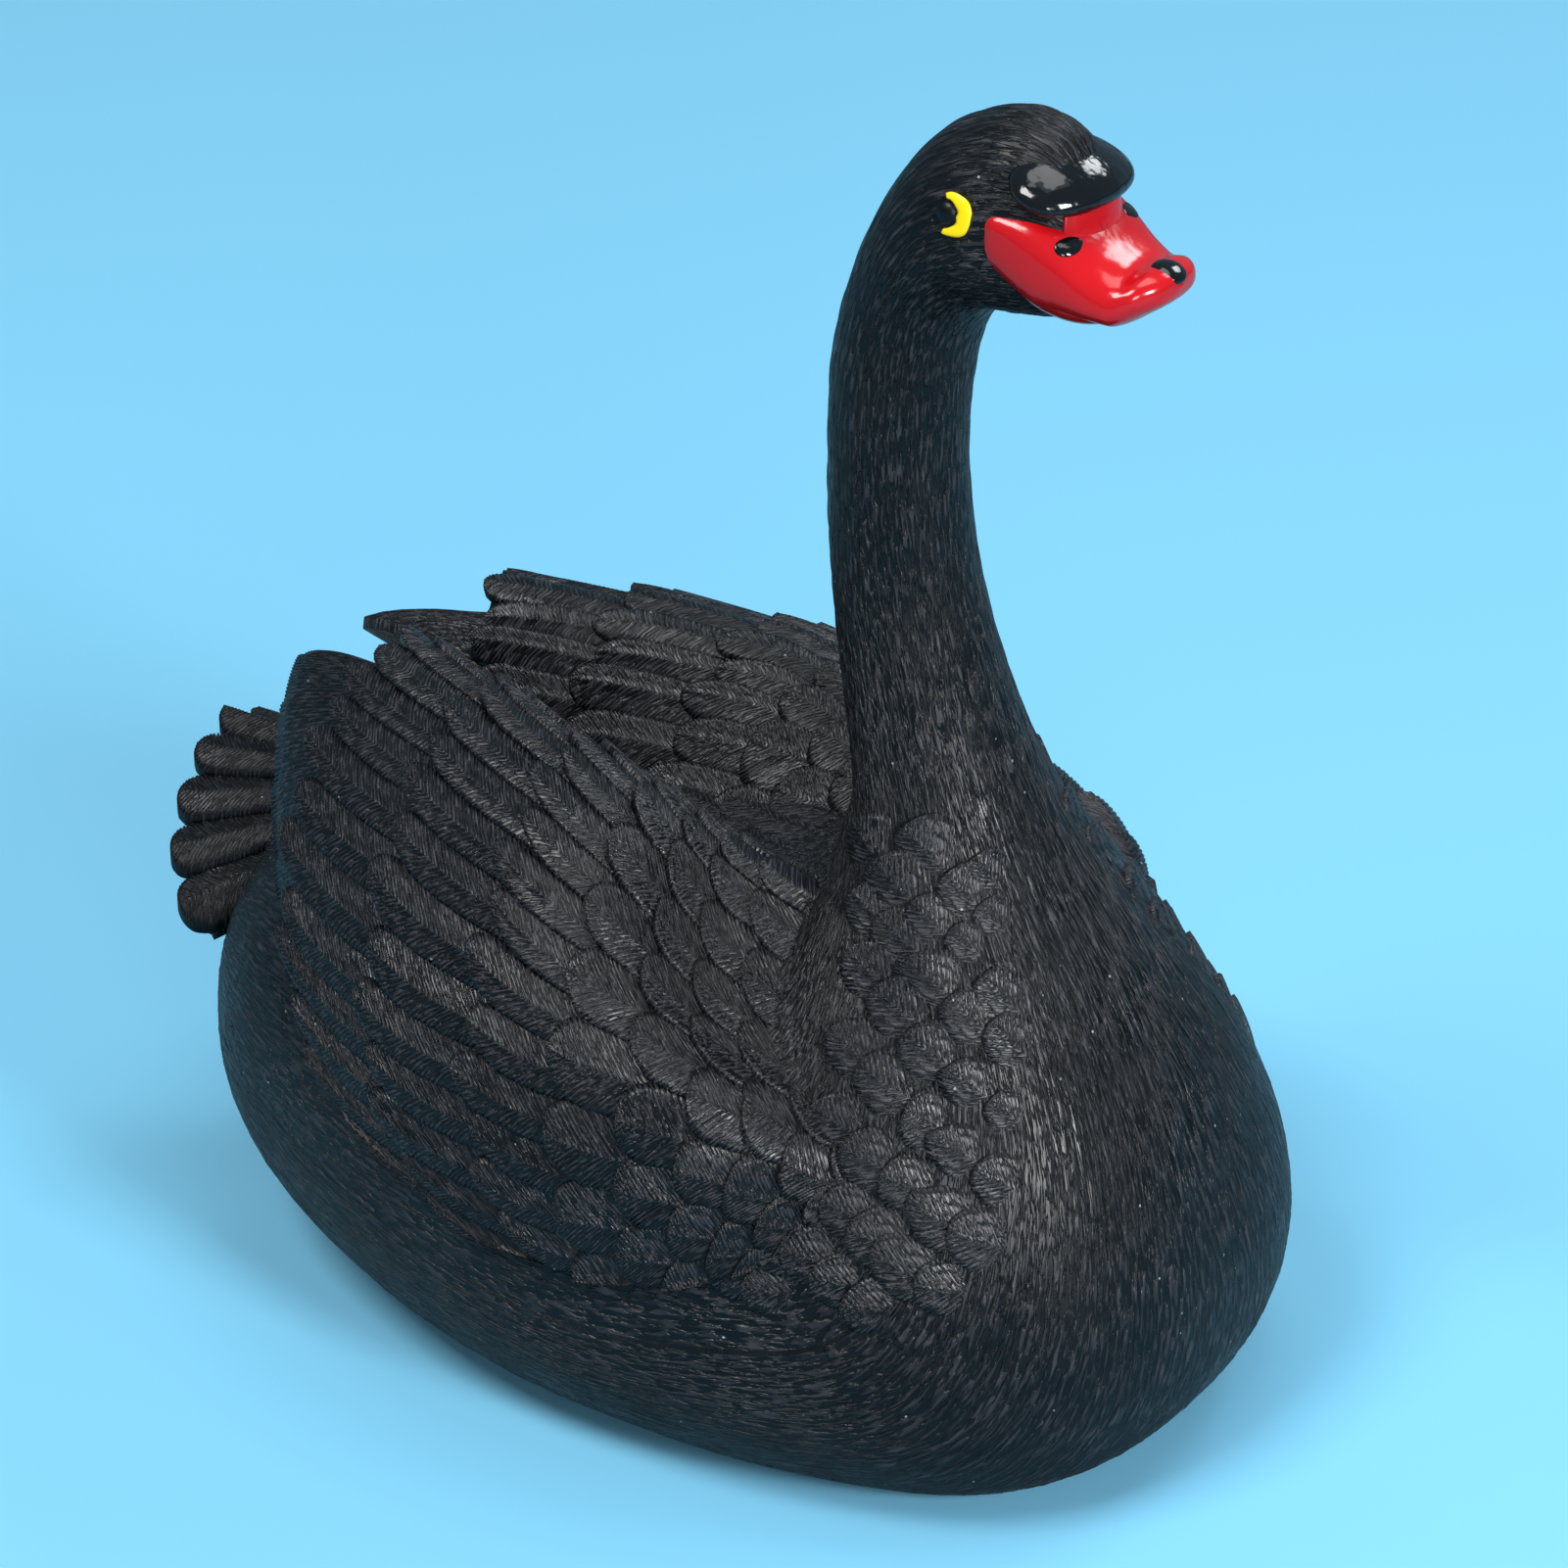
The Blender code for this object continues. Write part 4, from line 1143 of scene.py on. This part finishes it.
def seen_ray(tree):
    """1 for rays that show a thing to the eye, straight or in a reflection."""
    ray = add(tree, "LightPath").outputs
    shiny = add(tree, "Math", {"operation": "MAXIMUM"}, {
        0: ray["Is Glossy Ray"], 1: ray["Is Transmission Ray"]})
    soft = add(tree, "Math", {"operation": "MULTIPLY", 1: REFLECTED_SHARE}, {0: shiny})
    return add(tree, "Math", {"operation": "MAXIMUM"}, {0: ray["Is Camera Ray"], 1: soft})


# Stage
CAMERA_AZIMUTH = 35.0
CAMERA_ELEVATION = 28.0
CAMERA_DISTANCE = 1.0
CAMERA_TARGET = (0.018, 0.0, 0.105)
CAMERA_FOCAL_PIXELS = 5740.0
PHOTO_PIXELS = 1601.0
SENSOR_MM = 36.0
BACKDROP_COLOUR = "#76c0e4"
BACKDROP_BOUNCE = "#46636f"
REFLECTED_SHARE = 0.45
WORLD_LIGHT = 0.16
WORLD_SEEN = 0.6
FLOOR_SIZE = 6.0
FLOOR_SINK = 0.0002
LAMP_TARGET = (0.0, 0.0, 0.1)
# Softboxes: name, place and size in metres, watts, colour
LAMPS = (
    ("key_softbox", (-0.4, -1.2, 2.2), (1.0, 0.8), 42.0, "#fffdfa"),
    ("top_softbox", (0.1, 0.3, 2.2), (1.2, 1.0), 12.0, "#ffffff"),
    ("back_softbox", (0.3, 1.3, 1.4), (0.6, 0.4), 8.0, "#f4fbff"),
    ("front_softbox", (1.55, -0.45, 0.85), (0.4, 0.4), 26.0, "#ffffff"),
    ("side_softbox", (1.1, -1.15, 0.6), (0.4, 0.4), 7.0, "#ffffff"),
)


def aimed(thing, place, target):
    thing.location = place
    thing.rotation_euler = (Vector(target) - Vector(place)).to_track_quat("-Z", "Y").to_euler()
    bpy.context.scene.collection.objects.link(thing)
    return thing


def make_camera():
    azimuth, elevation = math.radians(CAMERA_AZIMUTH), math.radians(CAMERA_ELEVATION)
    level = math.cos(elevation)
    away = Vector((math.sin(azimuth) * level, -math.cos(azimuth) * level, math.sin(elevation)))
    lens = bpy.data.cameras.new("camera")
    lens.sensor_width = SENSOR_MM
    lens.lens = CAMERA_FOCAL_PIXELS / PHOTO_PIXELS * SENSOR_MM
    camera = bpy.data.objects.new("camera", lens)
    aimed(camera, Vector(CAMERA_TARGET) + away * CAMERA_DISTANCE, CAMERA_TARGET)
    bpy.context.scene.camera = camera


def soft_lamp(name, place, size, watts, colour):
    lamp = bpy.data.lights.new(name, "AREA")
    lamp.shape = "RECTANGLE"
    lamp.size, lamp.size_y = size
    lamp.energy = watts
    lamp.color = linear(colour)[:3]
    aimed(bpy.data.objects.new(name, lamp), place, LAMP_TARGET)


def make_stage():
    """The pale-blue floor, the light all round and the softboxes."""
    form = bmesh.new()
    bmesh.ops.create_grid(form, x_segments=1, y_segments=1, size=FLOOR_SIZE)
    bmesh.ops.translate(form, vec=(0, 0, -FLOOR_SINK), verts=form.verts[:])
    mesh = mesh_of("floor", form)
    floor = bpy.data.objects.new("floor", mesh)
    bpy.context.scene.collection.objects.link(floor)
    mesh.materials.append(backdrop_paper("backdrop_paper", BACKDROP_COLOUR, BACKDROP_BOUNCE))
    world = bpy.data.worlds.new("studio")
    bpy.context.scene.world = world
    world.use_nodes = True
    tree = world.node_tree
    tree.nodes.clear()
    light = add(tree, "Background", {"Color": linear("#ffffff"), "Strength": WORLD_LIGHT})
    seen = add(tree, "Background", {"Color": linear(BACKDROP_COLOUR), "Strength": WORLD_SEEN})
    mixed = add(tree, "MixShader", None, {0: seen_ray(tree), 1: light, 2: seen})
    add(tree, "OutputWorld", None, {"Surface": mixed})
    for lamp in LAMPS:
        soft_lamp(*lamp)
    bpy.context.scene.view_settings.view_transform = "Standard"


def main():
    # Ridge colours are painted highlights on the carved ridges, and groove colours are painted shade in the
    # grooves
    body_paint = satin_black(
        "satin_black_enamel_on_cast_resin", "#3c3c42", "#020203", 0.34, 0.33, (0.60, 4.0, 0.00036), 0.05)
    wing_paint = satin_black(
        "gloss_black_enamel_on_feathers", "#34343a", "#020203", 0.40, 0.30, (0.50, 2.5, 0.00020), 0.03)
    # The tail's copy of the black paint has darker ridges than the wings' paint: painted shade, for the tail
    # that lies in shade
    shaded_tail_paint = satin_black(
        "dull_black_enamel_with_painted_shade_on_tail", "#222226", "#020203", 0.28, 0.42, (0.50, 2.5, 0.00012), 0.03)
    black_gloss = gloss_enamel("thick_gloss_black_enamel", "#0b0c0e", 0.10, 0.0007)
    red_gloss = gloss_enamel("gloss_red_enamel", "#b40e16", 0.16, 0.0003)
    yellow = gloss_enamel("yellow_enamel", "#f4d908", 0.3, 0.0003)
    make_camera()
    for name, first, last, rings, hairs, before, after in SKIN_ZONES:
        make_skin(name, first, last, rings, hairs, before, after, body_paint)
    for word, side in SIDES:
        make_wing(f"{word}_shoulder_feathers", side, range(LONG_ROWS * 2), wing_paint)
        make_wing(f"{word}_long_feathers", side, range(LONG_ROWS * 2, LONG_ROWS * 3), wing_paint)
        make_wing_bed(f"{word}_wing_bed", side, wing_paint)
        make_primaries(f"{word}_primaries", side, wing_paint)
        make_scales(f"{word}_shoulder_scales", side, wing_paint)
    make_back_scales(wing_paint)
    make_tail(shaded_tail_paint)
    make_tail_bed(wing_paint)
    make_bill("upper_bill", 0.0, 0.0, 1.0, red_gloss)
    make_bill("lower_bill", LOWER_BILL_DROP, LOWER_BILL_INSET, MOUTH_REACH, red_gloss)
    make_bill_root(red_gloss)
    make_knob(black_gloss)
    make_nostrils(black_gloss)
    make_nail(black_gloss)
    make_eyes(body_paint, yellow)
    make_stage()


main()
